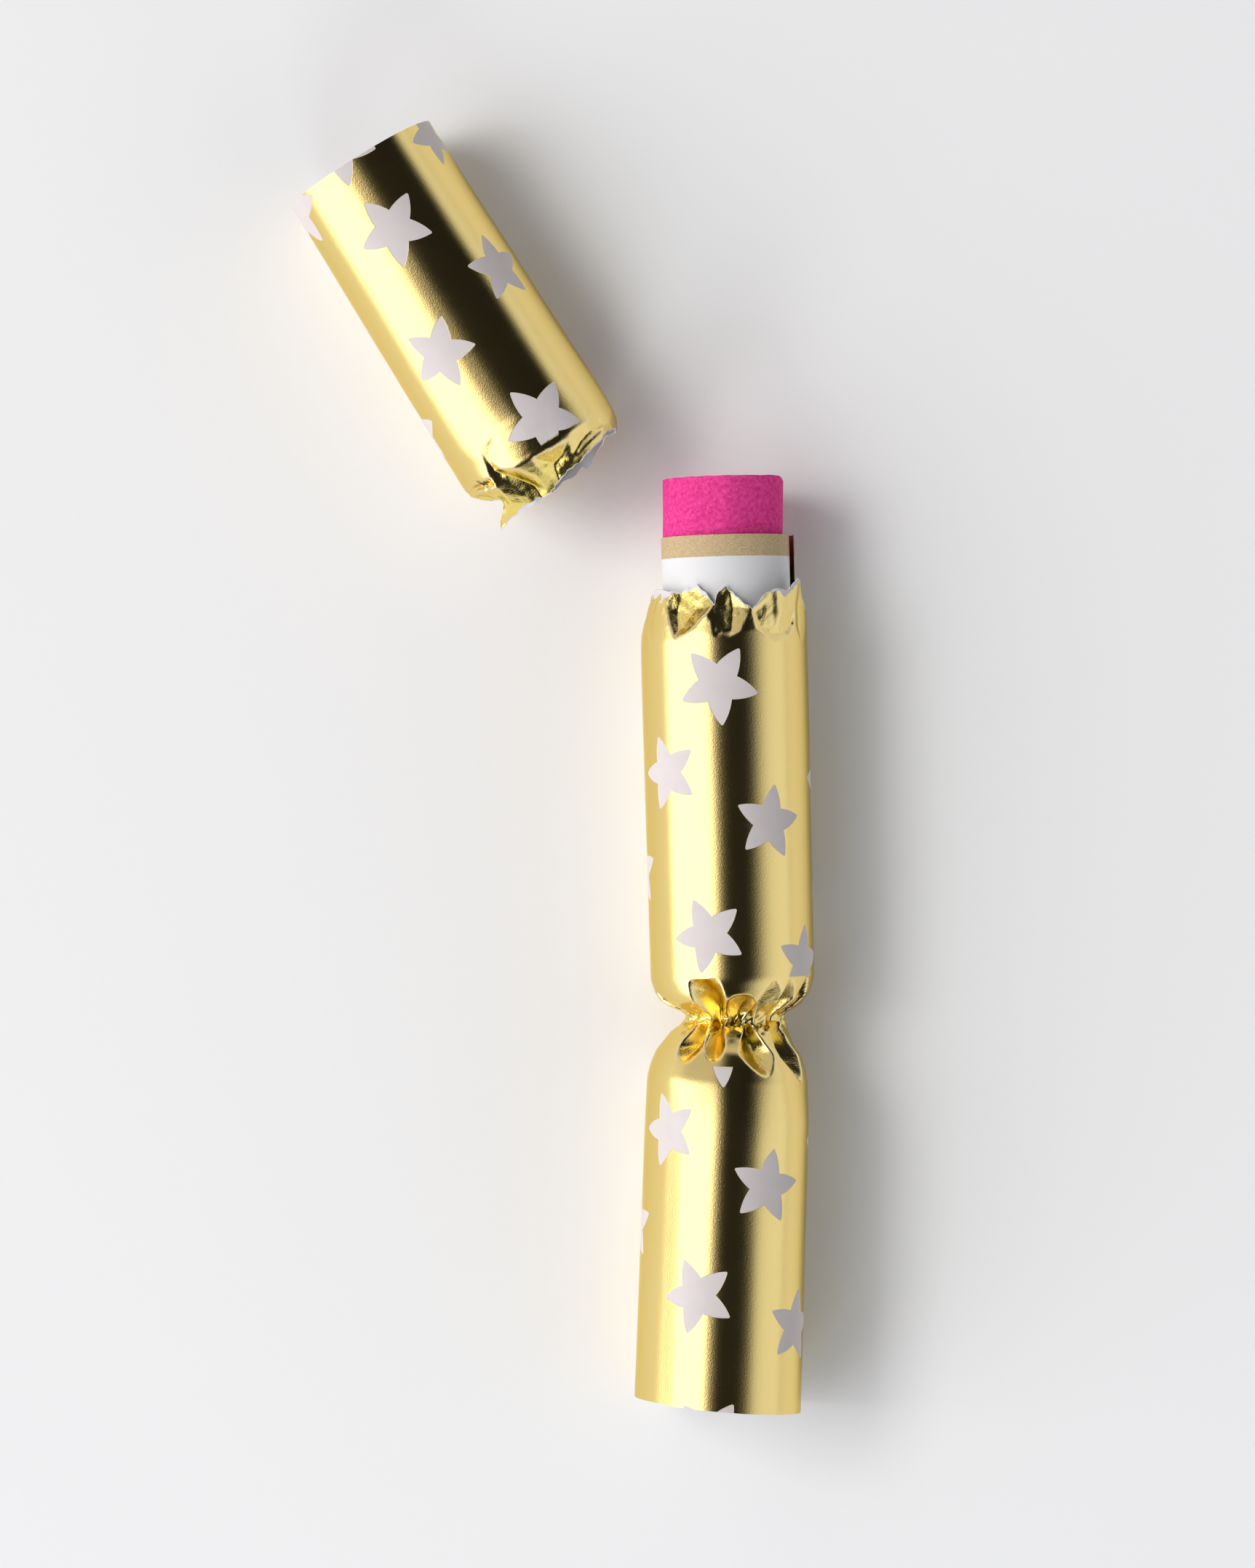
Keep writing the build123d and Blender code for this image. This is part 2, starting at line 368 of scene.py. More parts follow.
def move_points(piece, points):
    """Put the piece's points at places given in millimetres."""
    piece.data.vertices.foreach_set("co", (points * MM).ravel())
    piece.data.update()


def lay_uv(piece, across, along):
    """Write the shares across and along as the piece's UV map."""
    corner = np.empty(len(piece.data.loops), int)
    piece.data.loops.foreach_get("vertex_index", corner)
    uv = np.column_stack([across[corner], along[corner]])
    piece.data.uv_layers.active.data.foreach_set("uv", uv.ravel())


def mark_points(piece, name, values):
    """Store one number for each point, which a finish can read."""
    mark = piece.data.attributes.new(name, "FLOAT", "POINT")
    mark.data.foreach_set("value", np.asarray(values, float))


def select_only(piece):
    bpy.ops.object.select_all(action="DESELECT")
    piece.select_set(True)
    bpy.context.view_layer.objects.active = piece


def apply_modifier(piece, kind, **settings):
    select_only(piece)
    modifier = piece.modifiers.new(kind.lower(), kind)
    for name, value in settings.items():
        setattr(modifier, name, value)
    bpy.ops.object.modifier_apply(modifier=modifier.name)


def smooth(piece, angle=60):
    select_only(piece)
    bpy.ops.object.shade_smooth_by_angle(angle=math.radians(angle))


def two_sided(piece, front, back, wall):
    """Give the sheet its thickness inwards; the back and the cut edge take the second finish."""
    piece.data.materials.append(front)
    piece.data.materials.append(back)
    apply_modifier(
        piece, "SOLIDIFY", thickness=wall * MM, offset=-1, material_offset=1, material_offset_rim=1
    )
    smooth(piece)


def on_tube(tube, angle, radius, station, wide=1.0):
    """Places in millimetres for angles, radii and stations; wide makes the tube a little oval."""
    turn = np.radians(angle)
    side = radius * np.sin(turn) * wide
    high = radius * np.cos(turn) + axis_height
    flat = tube.origin * np.array([1, 1, 0])
    return flat + np.outer(station, tube.along) + np.outer(side, tube.right) + np.outer(high, UP)


def step(value, start, end):
    """0 before start, 1 after end, and a soft slope between."""
    share = np.clip((value - start) / (end - start), 0, 1)
    return share * share * (3 - 2 * share)


def crumple(across, along, size, seed):
    """Soft bumps about size millimetres apart, from about -1 to 1, the same on every run."""
    draw = np.random.default_rng(seed)
    total = np.zeros_like(across)
    for _ in range(CRUMPLE_WAVES):
        heading = draw.uniform(0, math.tau)
        pitch = math.tau / (size * draw.uniform(*CRUMPLE_PLAY))
        shift = draw.uniform(0, math.tau)
        total += np.sin(pitch * (across * math.cos(heading) + along * math.sin(heading)) + shift)
    return total / math.sqrt(CRUMPLE_WAVES) / CRUMPLE_PEAK


def crumples(across, along, layers, seed):
    """Crumples laid over each other, from rows of height and size."""
    draws = enumerate(layers, seed)
    return sum(height * crumple(across, along, size, draw) for draw, (height, size) in draws)


def stations(*stretches):
    """Row stations from stretches of (start, end, step)."""
    rows = [np.arange(start, end, (end - start) / max(1, round(abs(end - start) / pitch)))
            for start, end, pitch in stretches]
    return np.append(np.concatenate(rows), stretches[-1][1])


print("sheet helpers ready")

# %% [markdown]
# ## Pleats
#
# Where the paper is choked, it can't shrink, so it folds in. Each fold is a pocket: it starts at a tip on
# the shoulder, widens, and runs down into the choke, with a sharp rim on both sides. A `Pocket` says where
# one lies. The paper's radius is a smooth ridge line minus the deepest pocket at each place, which leaves
# the crisp rims that catch the light.

# %% Pocket helper
RIM_SOFTNESS = 0.07
VALLEY_SOFTNESS = 0.06
WIDEST = 0.45
RIM_WIDTH = 0.16
RIM_DEPTH = 0.6
RIM_MARGIN = 0.25
LEAN_POWER = 1.5
TIP_FADE = (0.0, 0.05)
ROOT_FADE = (0.94, 1.03)
Pocket = namedtuple("Pocket", "angle tip root half floor blunt lean waist skew power drop")


def pocket(angle, tip, root, half, floor, blunt=0.5, lean=0.0, waist=0.55, skew=0.0, power=1.6, drop=1.8):
    """half is half its width in degrees, floor its least radius, blunt how square its tip is (1 is a point).

    skew moves the valley towards one rim, power shapes the walls (1 is a plain V), and drop says how steeply
    the floor falls away behind the tip.
    """
    return Pocket(angle, tip, root, half, floor, blunt, lean, waist, skew, power, drop)


def turn_between(angle, middle):
    """The signed turn from middle to angle, between -180 and 180."""
    return (angle - middle + 180) % 360 - 180


def pocket_depth(fold, angle, station, ridge, rim_radius):
    """How far one pocket sinks below the ridge line, and how close each place is to its rim."""
    share = (station - fold.tip) / (fold.root - fold.tip)
    inside = np.clip(share, 1e-6, 1)
    middle = fold.angle + fold.lean * (1 - inside) ** LEAN_POWER
    opening = np.minimum(1, (inside / WIDEST) ** fold.blunt)
    taper = 1 - (1 - fold.waist) * step(inside, WIDEST, 1.0)
    across = turn_between(angle, middle) / (fold.half * opening * taper) - fold.skew
    across = np.where(across > 0, across / (1 - fold.skew), across / (1 + fold.skew))
    level = 1 - np.abs(across) ** fold.power
    section = np.clip(softened(level, RIM_SOFTNESS), 0, 1)
    low = rim_radius + (fold.floor - rim_radius) * (1 - (1 - inside) ** fold.drop)
    reach = step(share, *TIP_FADE) * (1 - step(share, *ROOT_FADE))
    sunk = np.clip(ridge - low, 0, None) * reach
    rim = np.exp(-((level / RIM_WIDTH) ** 2)) * np.clip(sunk / RIM_DEPTH, 0, 1)
    return sunk * section, rim


def softened(value, softness):
    """value where it is above zero and zero below, with a small round between."""
    return (value + np.sqrt(value * value + softness * softness)) / 2


def pleated(angle, station, ridge, folds, rim_radius):
    """Radius of the paper, the ridge line less the deepest pocket, with pocket depth and rim marks."""
    deepest = np.zeros_like(angle)
    rims = np.zeros_like(angle)
    unfolded = 0.0
    for fold in folds:
        depth, rim = pocket_depth(fold, angle, station, ridge, rim_radius)
        seen = np.maximum(rims * (depth < deepest + RIM_MARGIN), rim)
        rims = np.where(depth > deepest - RIM_MARGIN, seen, rims)
        deepest = deepest + softened(depth - deepest, VALLEY_SOFTNESS)
        unfolded = unfolded + softened(-unfolded, VALLEY_SOFTNESS)
    deepest = np.clip(deepest - unfolded, 0, None)
    return ridge - deepest, deepest, rims


print("pleat helpers ready")

# %% [markdown]
# Torn paper doesn't fold in neat pockets: it is creased into facets, and each facet mirrors one part of the
# studio. So the two torn edges are laid out as crease lines, with points given across, along and above the
# tube's axis. The triangles between the lines are the facets. Where the paper stands above its surroundings,
# the crease is a rim.

# %% Crease helper
CREASE_ROUND = 0.12
RIM_REACH = 0.28
RIM_RISE = 0.12


def crease_net(lines):
    """Triangles between crease lines, as corners on the unrolled paper with a radius for each corner."""
    points = np.array([point for line in lines for point in line])
    turn = np.arctan2(points[:, 0], points[:, 2])
    radius = np.hypot(points[:, 0], points[:, 2])
    flat = [Vector(pair) for pair in zip(turn * wrap_radius, points[:, 1])]
    edges, first = [], 0
    for line in lines:
        edges += [(first + index, first + index + 1) for index in range(len(line) - 1)]
        first += len(line)
    corners, _, faces, sources, _, _ = delaunay_2d_cdt(flat, edges, [], 0, 1e-3)
    levels = [radius[source[0]] if source else wrap_radius for source in sources]
    return [([corners[i] for i in face], [levels[i] for i in face]) for face in faces]


def on_net(net, arc, station, outside):
    """Radius of the creased paper at each place, and outside's value where the net doesn't reach."""
    radius = np.array(outside, float)
    for (a, b, c), (low, mid, high) in net:
        area = (b.y - c.y) * (a.x - c.x) + (c.x - b.x) * (a.y - c.y)
        first = ((b.y - c.y) * (arc - c.x) + (c.x - b.x) * (station - c.y)) / area
        second = ((c.y - a.y) * (arc - c.x) + (a.x - c.x) * (station - c.y)) / area
        third = 1 - first - second
        inside = np.minimum(np.minimum(first, second), third) >= 0
        radius[inside] = (first * low + second * mid + third * high)[inside]
    return radius


def round_net(net, arc, station, outside, reach):
    """The net's radius, averaged over places a little to each side, which rounds the creases."""
    moves = [(-reach, -reach), (-reach, reach), (reach, -reach), (reach, reach)]
    return sum(on_net(net, arc + across, station + along, outside) for across, along in moves) / len(moves)


def with_creases(net, angle, station, paper, share):
    """Mix the creased net into the paper's radius, pocket depth and rim marks."""
    radius, depth, rims = paper
    arc = np.radians(angle) * wrap_radius
    creased = round_net(net, arc, station, radius, CREASE_ROUND)
    rise = creased - round_net(net, arc, station, radius, RIM_REACH)
    ridges = np.clip(rise / RIM_RISE, 0, 1)
    sunk = np.clip(wrap_radius - creased, 0, None)
    mixes = [(radius, creased), (depth, sunk), (rims, ridges)]
    return tuple(plain + (folded - plain) * share for plain, folded in mixes)


def tube_ring(station, angles):
    """A line of points round the plain tube, where a net joins it."""
    turns = [math.radians(angle) for angle in angles]
    return [(wrap_radius * math.sin(turn), station, wrap_radius * math.cos(turn)) for turn in turns]


print("crease helpers ready")

# %% [markdown]
# ## The main wrapper
#
# Barrel, neck and kept end are one sheet. The pockets at the front of the neck and the creases at the front
# of the barrel's torn mouth are laid where the real ones are. The back can't be seen in the picture, so its
# pockets come from a loop with the same sizes and a seeded draw. The paper ends on a ragged line. All of it
# is rolled from one grid, because three joined pieces would show a seam where the neck bends.

# %% Neck and fringe pockets
WAIST_FLOOR = 4.4
ANGLE_PLAY = 3
HALF_PLAY = (0.85, 1.12)
BLUNT_PLAY = (0.6, 1.4)
LEAN_PLAY = 5


def back_pockets(seed, first, count, pitch, tip, tip_play, root, half, floor, blunt):
    """Evenly spread pockets with a little play, for the side away from the camera."""
    draw = np.random.default_rng(seed)
    made = []
    for index in range(count):
        made.append(pocket(
            first + pitch * index + draw.uniform(-ANGLE_PLAY, ANGLE_PLAY),
            tip + draw.uniform(-tip_play, tip_play),
            root,
            half * draw.uniform(*HALF_PLAY),
            floor,
            blunt * draw.uniform(*BLUNT_PLAY),
            draw.uniform(-LEAN_PLAY, LEAN_PLAY),
        ))
    return made


barrel_folds = [
    pocket(-66, 4.5, 0.5, 8, 5.6, blunt=0.8, lean=-14),
    pocket(-17.5, 6.3, -1.9, 13.5, WAIST_FLOOR + 0.6, blunt=0.06, lean=-5, waist=0.32, drop=3.2),
    pocket(3, 4.0, -0.9, 13, 5.8, blunt=0.32, lean=4, waist=0.5, power=2.2, drop=2.4),
    pocket(29, 5.9, -0.6, 11, 7.4, blunt=0.8, lean=2, waist=0.6, skew=-0.55, power=1.1),
    pocket(46, 5.8, -0.6, 8, 5.4, blunt=0.7, lean=-1, waist=0.6, skew=-0.3),
    pocket(62, 6.1, 0.6, 7, 6.0, blunt=0.8, lean=4),
] + back_pockets(
    3, first=104, count=7, pitch=26.5, tip=5.3, tip_play=0.7, root=-0.8, half=13, floor=WAIST_FLOOR,
    blunt=0.5,
)

end_folds = [
    pocket(-62, -3.4, 0.1, 7, 6.2, blunt=0.8, lean=-22),
    pocket(-34, -7.0, -0.9, 12.5, 5.0, blunt=0.5, lean=-3, waist=0.6),
    pocket(-12.5, -6.8, -0.4, 9.5, WAIST_FLOOR + 1.2, blunt=0.42, lean=0, waist=0.5),
    pocket(19, -8.5, -0.8, 15.5, WAIST_FLOOR + 1.4, blunt=0.62, lean=10, waist=0.4),
    pocket(54, -9.2, -0.4, 15, WAIST_FLOOR + 0.4, blunt=0.8, lean=12, waist=0.6),
] + back_pockets(
    5, first=96, count=7, pitch=27, tip=-7.4, tip_play=0.8, root=-0.6, half=13.5, floor=WAIST_FLOOR,
    blunt=0.6,
)

fringe_folds = back_pockets(
    7, first=110, count=6, pitch=29, tip=56.4, tip_play=0.7, root=64.5, half=15, floor=9.9, blunt=0.6
)
print(len(barrel_folds) + len(end_folds), "neck pockets,", len(fringe_folds), "fringe pockets at the back")

# %% Creases of the torn fringe
NET_ANGLES = range(-100, 101, 20)
fringe_creases = [
    tube_ring(54.0, NET_ANGLES),
    tube_ring(55.4, (-95, -78, -60, -20, 22, 78, 95)),
    [(-12.2, 56.4, -1.0), (-12.1, 57.2, -1.0), (-11.9, 58.0, -1.0), (-11.0, 61.0, -1.0), (-10.3, 64.0, -1.0),
     (-10.1, 66.0, -1.0)],
    [(-11.97, 56.4, 2.6), (-11.85, 57.2, 2.6), (-11.7, 58.0, 2.6), (-10.8, 61.0, 3.0), (-10.3, 63.1, 3.0),
     (-10.1, 66.0, 3.0)],
    [(-7.31, 56.0, 9.89), (-8.3, 58.9, 8.6), (-8.7, 61.1, 7.7), (-8.0, 62.3, 7.7), (-7.4, 66.0, 7.6)],
    [(-7.31, 56.0, 9.89), (-6.7, 57.2, 9.1), (-6.8, 59.7, 7.95), (-5.9, 62.6, 7.9), (-5.6, 66.0, 7.8)],
    [(-6.7, 57.2, 9.1), (-4.3, 60.1, 9.6), (-4.3, 63.0, 9.1), (-4.2, 66.0, 9.0)],
    [(-7.31, 56.0, 9.89), (-4.68, 57.4, 11.37), (-2.7, 59.5, 11.85), (-1.65, 60.8, 11.3), (-1.6, 62.1, 10.9),
     (-1.6, 66.0, 10.8)],
    [(-1.65, 60.8, 11.3), (-1.95, 58.6, 11.95), (-1.5, 56.2, 12.21), (0.4, 56.0, 12.29), (2.2, 56.7, 12.1),
     (3.65, 59.5, 11.35)],
    [(-0.9, 57.0, 11.75), (0.9, 57.0, 11.6), (1.2, 60.5, 10.45), (0.9, 62.1, 10.35), (0.9, 66.0, 10.3)],
    [(3.65, 59.5, 11.35), (4.0, 60.0, 11.15), (4.2, 66.0, 11.0)],
    [(4.0, 60.0, 11.15), (4.62, 57.2, 11.4), (7.01, 55.5, 10.11), (9.11, 55.9, 8.26), (10.35, 57.8, 6.65),
     (10.45, 60.6, 6.5), (11.3, 64.6, 5.2), (11.4, 66.0, 5.2)],
    [(4.4, 59.8, 10.7), (5.1, 57.6, 10.55), (7.1, 56.1, 9.4), (8.75, 56.5, 7.95), (9.8, 58.0, 6.7)],
    [(7.3, 57.2, 9.25), (7.2, 59.3, 9.5), (7.1, 61.9, 9.45), (7.0, 66.0, 9.4)],
    [(8.8, 57.3, 7.9), (8.1, 59.0, 9.2), (7.9, 61.9, 9.2), (7.9, 66.0, 9.1)],
    [(11.21, 55.4, 5.06), (10.85, 57.5, 5.1), (10.9, 60.6, 5.2), (11.4, 64.0, 4.6)],
    [(12.1, 57.0, 2.4), (12.15, 58.8, 2.5), (12.0, 64.4, 3.2), (12.0, 66.0, 3.2)],
    [(12.3, 57.0, -1.0), (12.3, 59.0, -1.0), (12.2, 64.0, -1.0), (12.2, 66.0, -1.0)],
]
fringe_net = crease_net(fringe_creases)
print(len(fringe_net), "facets in the fringe")

# %% Ridge lines and ragged edge
NECK_STATIONS = [-12, -9, -7, -5, -3.8, -2.7, -1.3, -0.6, 0, 0.75, 1.4, 2.5, 3.7, 5.7, 9]
NECK_RIDGES = [12.3, 12.2, 11.7, 10.9, 9.9, 9.2, 8.0, 7.2, 7.0, 7.4, 9.0, 10.8, 11.6, 12.25, 12.3]
FRINGE_STATIONS = [55.8, 57.2, 58.5, 60, 62, 65]
FRINGE_RIDGES = [12.3, 12.24, 12.1, 11.9, 11.7, 11.6]
TEAR_ANGLES = [
    -172, -140, -115, -90, -75, -60, -48, -40, -31, -23, -15, -7.6, -5.8, 1.2, 20, 22, 32, 42, 50, 57, 64,
    68, 73, 80, 88, 97, 130, 165, 198,
]
TEAR_STATIONS = [
    62.5, 63.4, 61.6, 62.6, 63.4, 63.5, 63.0, 63.1, 63.4, 64.0, 62.6, 60.9, 62.4, 63.7, 60.1, 60.3, 62.5,
    63.2, 62.7, 63.6, 64.6, 64.3, 61.6, 60.4, 60.0, 61.6, 61.4, 63.2, 62.5,
]
PEEL_ANGLES = [-95, -85, -55, -44, -32, -12, -4, 34, 46, 62, 70, 100]
PEEL_WIDTHS = [0.35, 2.0, 2.0, 0.5, 0.8, 0.6, 0.3, 0.4, 1.3, 1.3, 0.6, 0.4]
WAIST_REACH = 2.2
WAIST_RADIUS = 7
WAIST_TILT, WAIST_LIFT = 0.5, 0.15
WAIST_CRUMPLE = 0.32
FRINGE_TILT, FRINGE_DROP = 0.5, 0.2
FRINGE_LIFT = (56, 62)
BARREL_MIDDLE = 30
NET_SIDES = (86, 98)
NET_START = (54.1, 55.3)


def flowing(station, knots, values, soften=0.9, pitch=0.05):
    """A line through the knots with its corners rounded off over about soften millimetres."""
    grid = np.arange(knots[0] - 4, knots[-1] + 4, pitch)
    line = np.interp(grid, knots, values)
    width = int(soften / pitch) | 1
    for _ in range(2):
        padded = np.pad(line, width // 2, mode="edge")
        line = np.convolve(padded, np.ones(width) / width, mode="valid")
    return np.interp(station, grid, line)


def main_radius(angle, station):
    """Radius of the main wrapper, with its pocket depth and rim marks."""
    turn = np.radians(angle)
    at_waist = np.exp(-((station / WAIST_REACH) ** 2))
    neck = flowing(station, NECK_STATIONS, NECK_RIDGES)
    neck += (WAIST_TILT * np.sin(turn) + WAIST_LIFT) * at_waist
    neck += WAIST_CRUMPLE * crumple(turn * WAIST_RADIUS, station, 1.7, seed=25) * at_waist
    lift = (FRINGE_TILT * np.sin(turn) - FRINGE_DROP) * step(station, *FRINGE_LIFT)
    fringe = flowing(station, FRINGE_STATIONS, FRINGE_RIDGES) + lift
    ridge = np.where(station < BARREL_MIDDLE, neck, fringe)
    paper = pleated(angle, station, ridge, barrel_folds + end_folds + fringe_folds, wrap_radius)
    front = (1 - step(np.abs(angle), *NET_SIDES)) * step(station, *NET_START)
    return with_creases(fringe_net, angle, station, paper, front)


print("tear runs from", min(TEAR_STATIONS), "to", max(TEAR_STATIONS), "mm")

# %% Bulges and teeth
ROUND_PITCH = 0.5
ROUND_REACH = 200
TOP_SIDES = 60
ROUND_AGAIN = (55, 105)
INWARDS_AT_MOST = 0.3
TEETH = [(0.16, 1.3), (0.08, 0.5)]


def out_of_round(angle, angles, tilts):
    """A bulge in millimetres that tilts the paper at those angles; the underside stays round."""
    grid = np.arange(-ROUND_REACH, ROUND_REACH, ROUND_PITCH)
    tilt = np.interp(grid, angles, tilts)
    bulge = -np.cumsum(np.radians(tilt)) * math.radians(ROUND_PITCH) * wrap_radius
    bulge -= bulge[np.abs(grid) < TOP_SIDES].min() + INWARDS_AT_MOST
    return np.interp(angle, grid, bulge * (1 - step(np.abs(grid), *ROUND_AGAIN)))


def torn_line(angle, angles, lengths, seed):
    """Where the paper ends at each angle, with the small teeth of a tear."""
    arc = np.radians(angle) * wrap_radius
    return np.interp(angle, angles, lengths) + crumples(arc, 0 * arc, TEETH, seed)


print("tears have", len(TEETH), "sizes of teeth")

# %% Lap, bumps and marks
PAPER_WALL = 0.14
LAP_START, LAP_END = -172.0, 198.0
LAP_RAMP = (LAP_START + 9, LAP_START + 14)
LAP_CLEARANCE = 0.03
CREASED_DEPTH = 0.8
NO_TEAR = 99.0
SHARP_BUMPS = [(0.05, 2.0), (0.03, 0.9)]
SOFT_BUMPS = [(0.03, 9.0)]
STRETCHED = 0.4


def spread_angles(across):
    """Angles of the columns: close together at the front, where the folds are seen best."""
    return np.interp(across, [0, 0.12, 0.85, 1], [LAP_START, -95, 95, LAP_END])


def tuck(angle):
    """How far the paper sinks where its other edge lies over it."""
    return (PAPER_WALL + LAP_CLEARANCE) * (1 - step(angle, *LAP_RAMP))


def small_bumps(angle, station, creased, seed):
    """Bumps in millimetres: small ones where the paper is creased, wide soft ones where it isn't."""
    arc = np.radians(angle) * wrap_radius
    sharp = crumples(arc, station, SHARP_BUMPS, seed)
    soft = crumples(arc, station * STRETCHED, SOFT_BUMPS, seed + len(SHARP_BUMPS))
    return creased * sharp + soft * (1 - creased)


def lay_sheet_uv(piece, angle, station, low, high):
    """The sheet's own map: from LAP_START to LAP_END across, and from low to high along."""
    lay_uv(piece, (angle - LAP_START) / (LAP_END - LAP_START), (station - low) / (high - low))


def mark_sheet(piece, **marks):
    for name, values in marks.items():
        mark_points(piece, name, values)


print("lap of", round(math.radians(LAP_END - LAP_START - 360) * wrap_radius, 1), "mm")

# %% Roll the main wrapper
MAIN_COLUMNS = 300
FRINGE_START = 54.5
MOUTH_START = 45.0
MOUTH_SLANT = 0.7
BLEND_REACH = 3.5
END_ROUND = [-60, -50, -45, -40, -35, -31, -25, -16, -9, -3, 0, 5, 12, 18, 25, 40]
END_TILTS = [3, 1, -1, -6, -10, -11, -8, -5, -2.5, -2.5, -1.5, -1, -2, -2, 0, 0]
END_SHOULDER = (-15, -8)
WIDE_STATIONS = [end_mouth_station, -11, 0, 10, 54, 62]
WIDE_SHARES = [0.992, 0.970, 0.985, 0.988, 1.006, 0.99]
main_rows = stations(
    (end_mouth_station, -10, 4.5), (-10, 7.5, 0.19), (7.5, FRINGE_START, 4.5), (FRINGE_START, 62.4, 0.2)
)

main_wrapper, across, along = flat_sheet("foil_wrapper", MAIN_COLUMNS, len(main_rows) - 1)
angle = spread_angles(across)
nominal = np.interp(along, np.linspace(0, 1, len(main_rows)), main_rows)
tear = torn_line(angle, TEAR_ANGLES, TEAR_STATIONS, seed=11)
in_fringe = nominal > FRINGE_START
fringe_share = np.clip((nominal - FRINGE_START) / (main_rows[-1] - FRINGE_START), 0, 1)
station = np.where(in_fringe, FRINGE_START + fringe_share * (tear - FRINGE_START), nominal)
mouth_share = np.clip((-nominal - MOUTH_START) / (-end_mouth_station - MOUTH_START), 0, 1)
station = station - MOUTH_SLANT * np.sin(np.radians(angle)) * mouth_share ** 2

radius, depth, rims = main_radius(angle, station)
creased = np.clip(depth / CREASED_DEPTH, 0, 1)
radius += small_bumps(angle, station, creased, seed=21)
radius += out_of_round(angle, END_ROUND, END_TILTS) * (1 - step(station, *END_SHOULDER))
radius -= tuck(angle)

wide = flowing(station, WIDE_STATIONS, WIDE_SHARES, 5.0)
to_end = 1 - step(station, -BLEND_REACH, BLEND_REACH)
points = on_tube(barrel, angle, radius, station, wide) * (1 - to_end)[:, None]
points += on_tube(kept_end, angle, radius, station, wide) * to_end[:, None]
points[:, 2] = np.maximum(points[:, 2], 0)
move_points(main_wrapper, points)
print("main wrapper:", len(main_wrapper.data.vertices), "points,", len(main_rows), "rows")

# %% Marks on the main wrapper
SHEET_LOW, SHEET_HIGH = end_mouth_station - 1.0, 66.0
NECK_LOW, NECK_HIGH = (-6.95, -6.8), (6.0, 6.15)
# Pocket depths over which the amber fades in: a painted reflection of the light bounced between pocket walls.
PAINTED_BOUNCE_DEPTHS = (0.3, 2.6)
lay_sheet_uv(main_wrapper, angle, station, SHEET_LOW, SHEET_HIGH)
mark_sheet(
    main_wrapper,
    to_tear=np.where(in_fringe, tear - station, NO_TEAR),
    peel=np.interp(angle, PEEL_ANGLES, PEEL_WIDTHS),
    crease=creased,
    rim=rims,
    # Share of the painted amber reflection in deep pockets.
    deep=step(depth, *PAINTED_BOUNCE_DEPTHS),
    in_neck=step(station, *NECK_LOW) * (1 - step(station, *NECK_HIGH)),
)
print("sheet of the main wrapper is", round(SHEET_HIGH - SHEET_LOW, 1), "mm long")

# %% [markdown]
# ## Gold foil with bare stars
#
# The foil is a thin metal film on white paper, laid everywhere except on the stars. So one mask decides
# between mirror gold and matt paper, and it drives colour, metal and roughness together. The stars are drawn
# on the sheet's own UV map in millimetres. For each star a Mapping node brings the place into the star's own
# frame, and the nearest star wins, so only one star outline has to be worked out. Folding the angle five
# times gives five arms.

# %% Star mask
STAR_INNER = 0.48
STAR_BULGE = 0.04
STAR_TIP = 0.975
STAR_EDGE = 90.0
ARMS = 5
Star = namedtuple("Star", "across station turn size")


def arm_circle():
    """Centre and radius of the circle through a star's tip and inner corner, which bulges outwards."""
    tip = np.array([1.0, 0.0])
    corner = STAR_INNER * np.array([math.cos(math.pi / ARMS), math.sin(math.pi / ARMS)])
    chord = corner - tip
    length = np.linalg.norm(chord)
    outwards = np.array([chord[1], -chord[0]]) / length
    reach = length ** 2 / (8 * STAR_BULGE) + STAR_BULGE / 2
    centre = (tip + corner) / 2 + outwards * (STAR_BULGE - reach)
    return centre, reach


def star_mask(finish, place, stars):
    """1 inside the nearest star and 0 outside, with a soft edge; place is in millimetres."""
    nearest = None
    best = None
    for star in stars:
        sockets = {
            "Vector": place,
            "Location": (star.across, star.station, 0),
            "Rotation": (0, 0, math.radians(star.turn)),
            "Scale": (star.size, star.size, 1),
        }
        local = finish.add("ShaderNodeMapping", {"vector_type": "TEXTURE"}, sockets)
        far = finish.add("ShaderNodeVectorMath", {"operation": "LENGTH"}, {0: local}, output=1)
        if nearest is None:
            nearest, best = local, far
            continue
        closer = far.math("LESS_THAN", far, best)
        choice = {0: closer, 4: nearest, 5: local}
        nearest = finish.add("ShaderNodeMix", {"data_type": "VECTOR"}, choice, output=1)
        best = far.math("MINIMUM", far, best)
    x = finish.add("ShaderNodeSeparateXYZ", {}, {"Vector": nearest})
    y = finish.add("ShaderNodeSeparateXYZ", {}, {"Vector": nearest}, output=1)
    fold = x.math("PINGPONG", x.math("ARCTAN2", y, x), math.pi / ARMS)
    centre, reach = arm_circle()
    side = best * fold.math("COSINE", fold) - centre[0]
    rise = best * fold.math("SINE", fold) - centre[1]
    within = reach - x.math("SQRT", side * side + rise * rise)
    within = x.math("MINIMUM", within, STAR_TIP - best)
    return (within * STAR_EDGE + 0.5).clamped()


print("star arms have", ARMS, "tips and an inner ring of", STAR_INNER)

# %% Foil finish
GOLD = (0.90, 0.70, 0.27, 1)
GOLD_DEEP = (0.88, 0.675, 0.245, 1)
GOLD_EDGE = (0.88, 0.80, 0.52, 1)
# Painted reflection: amber for the deeper tint of light bounced between the walls of deep pockets.
PAINTED_BOUNCE_AMBER = (1.0, 0.80, 0.20, 1)
PAINTED_BOUNCE_SHARE = 0.8
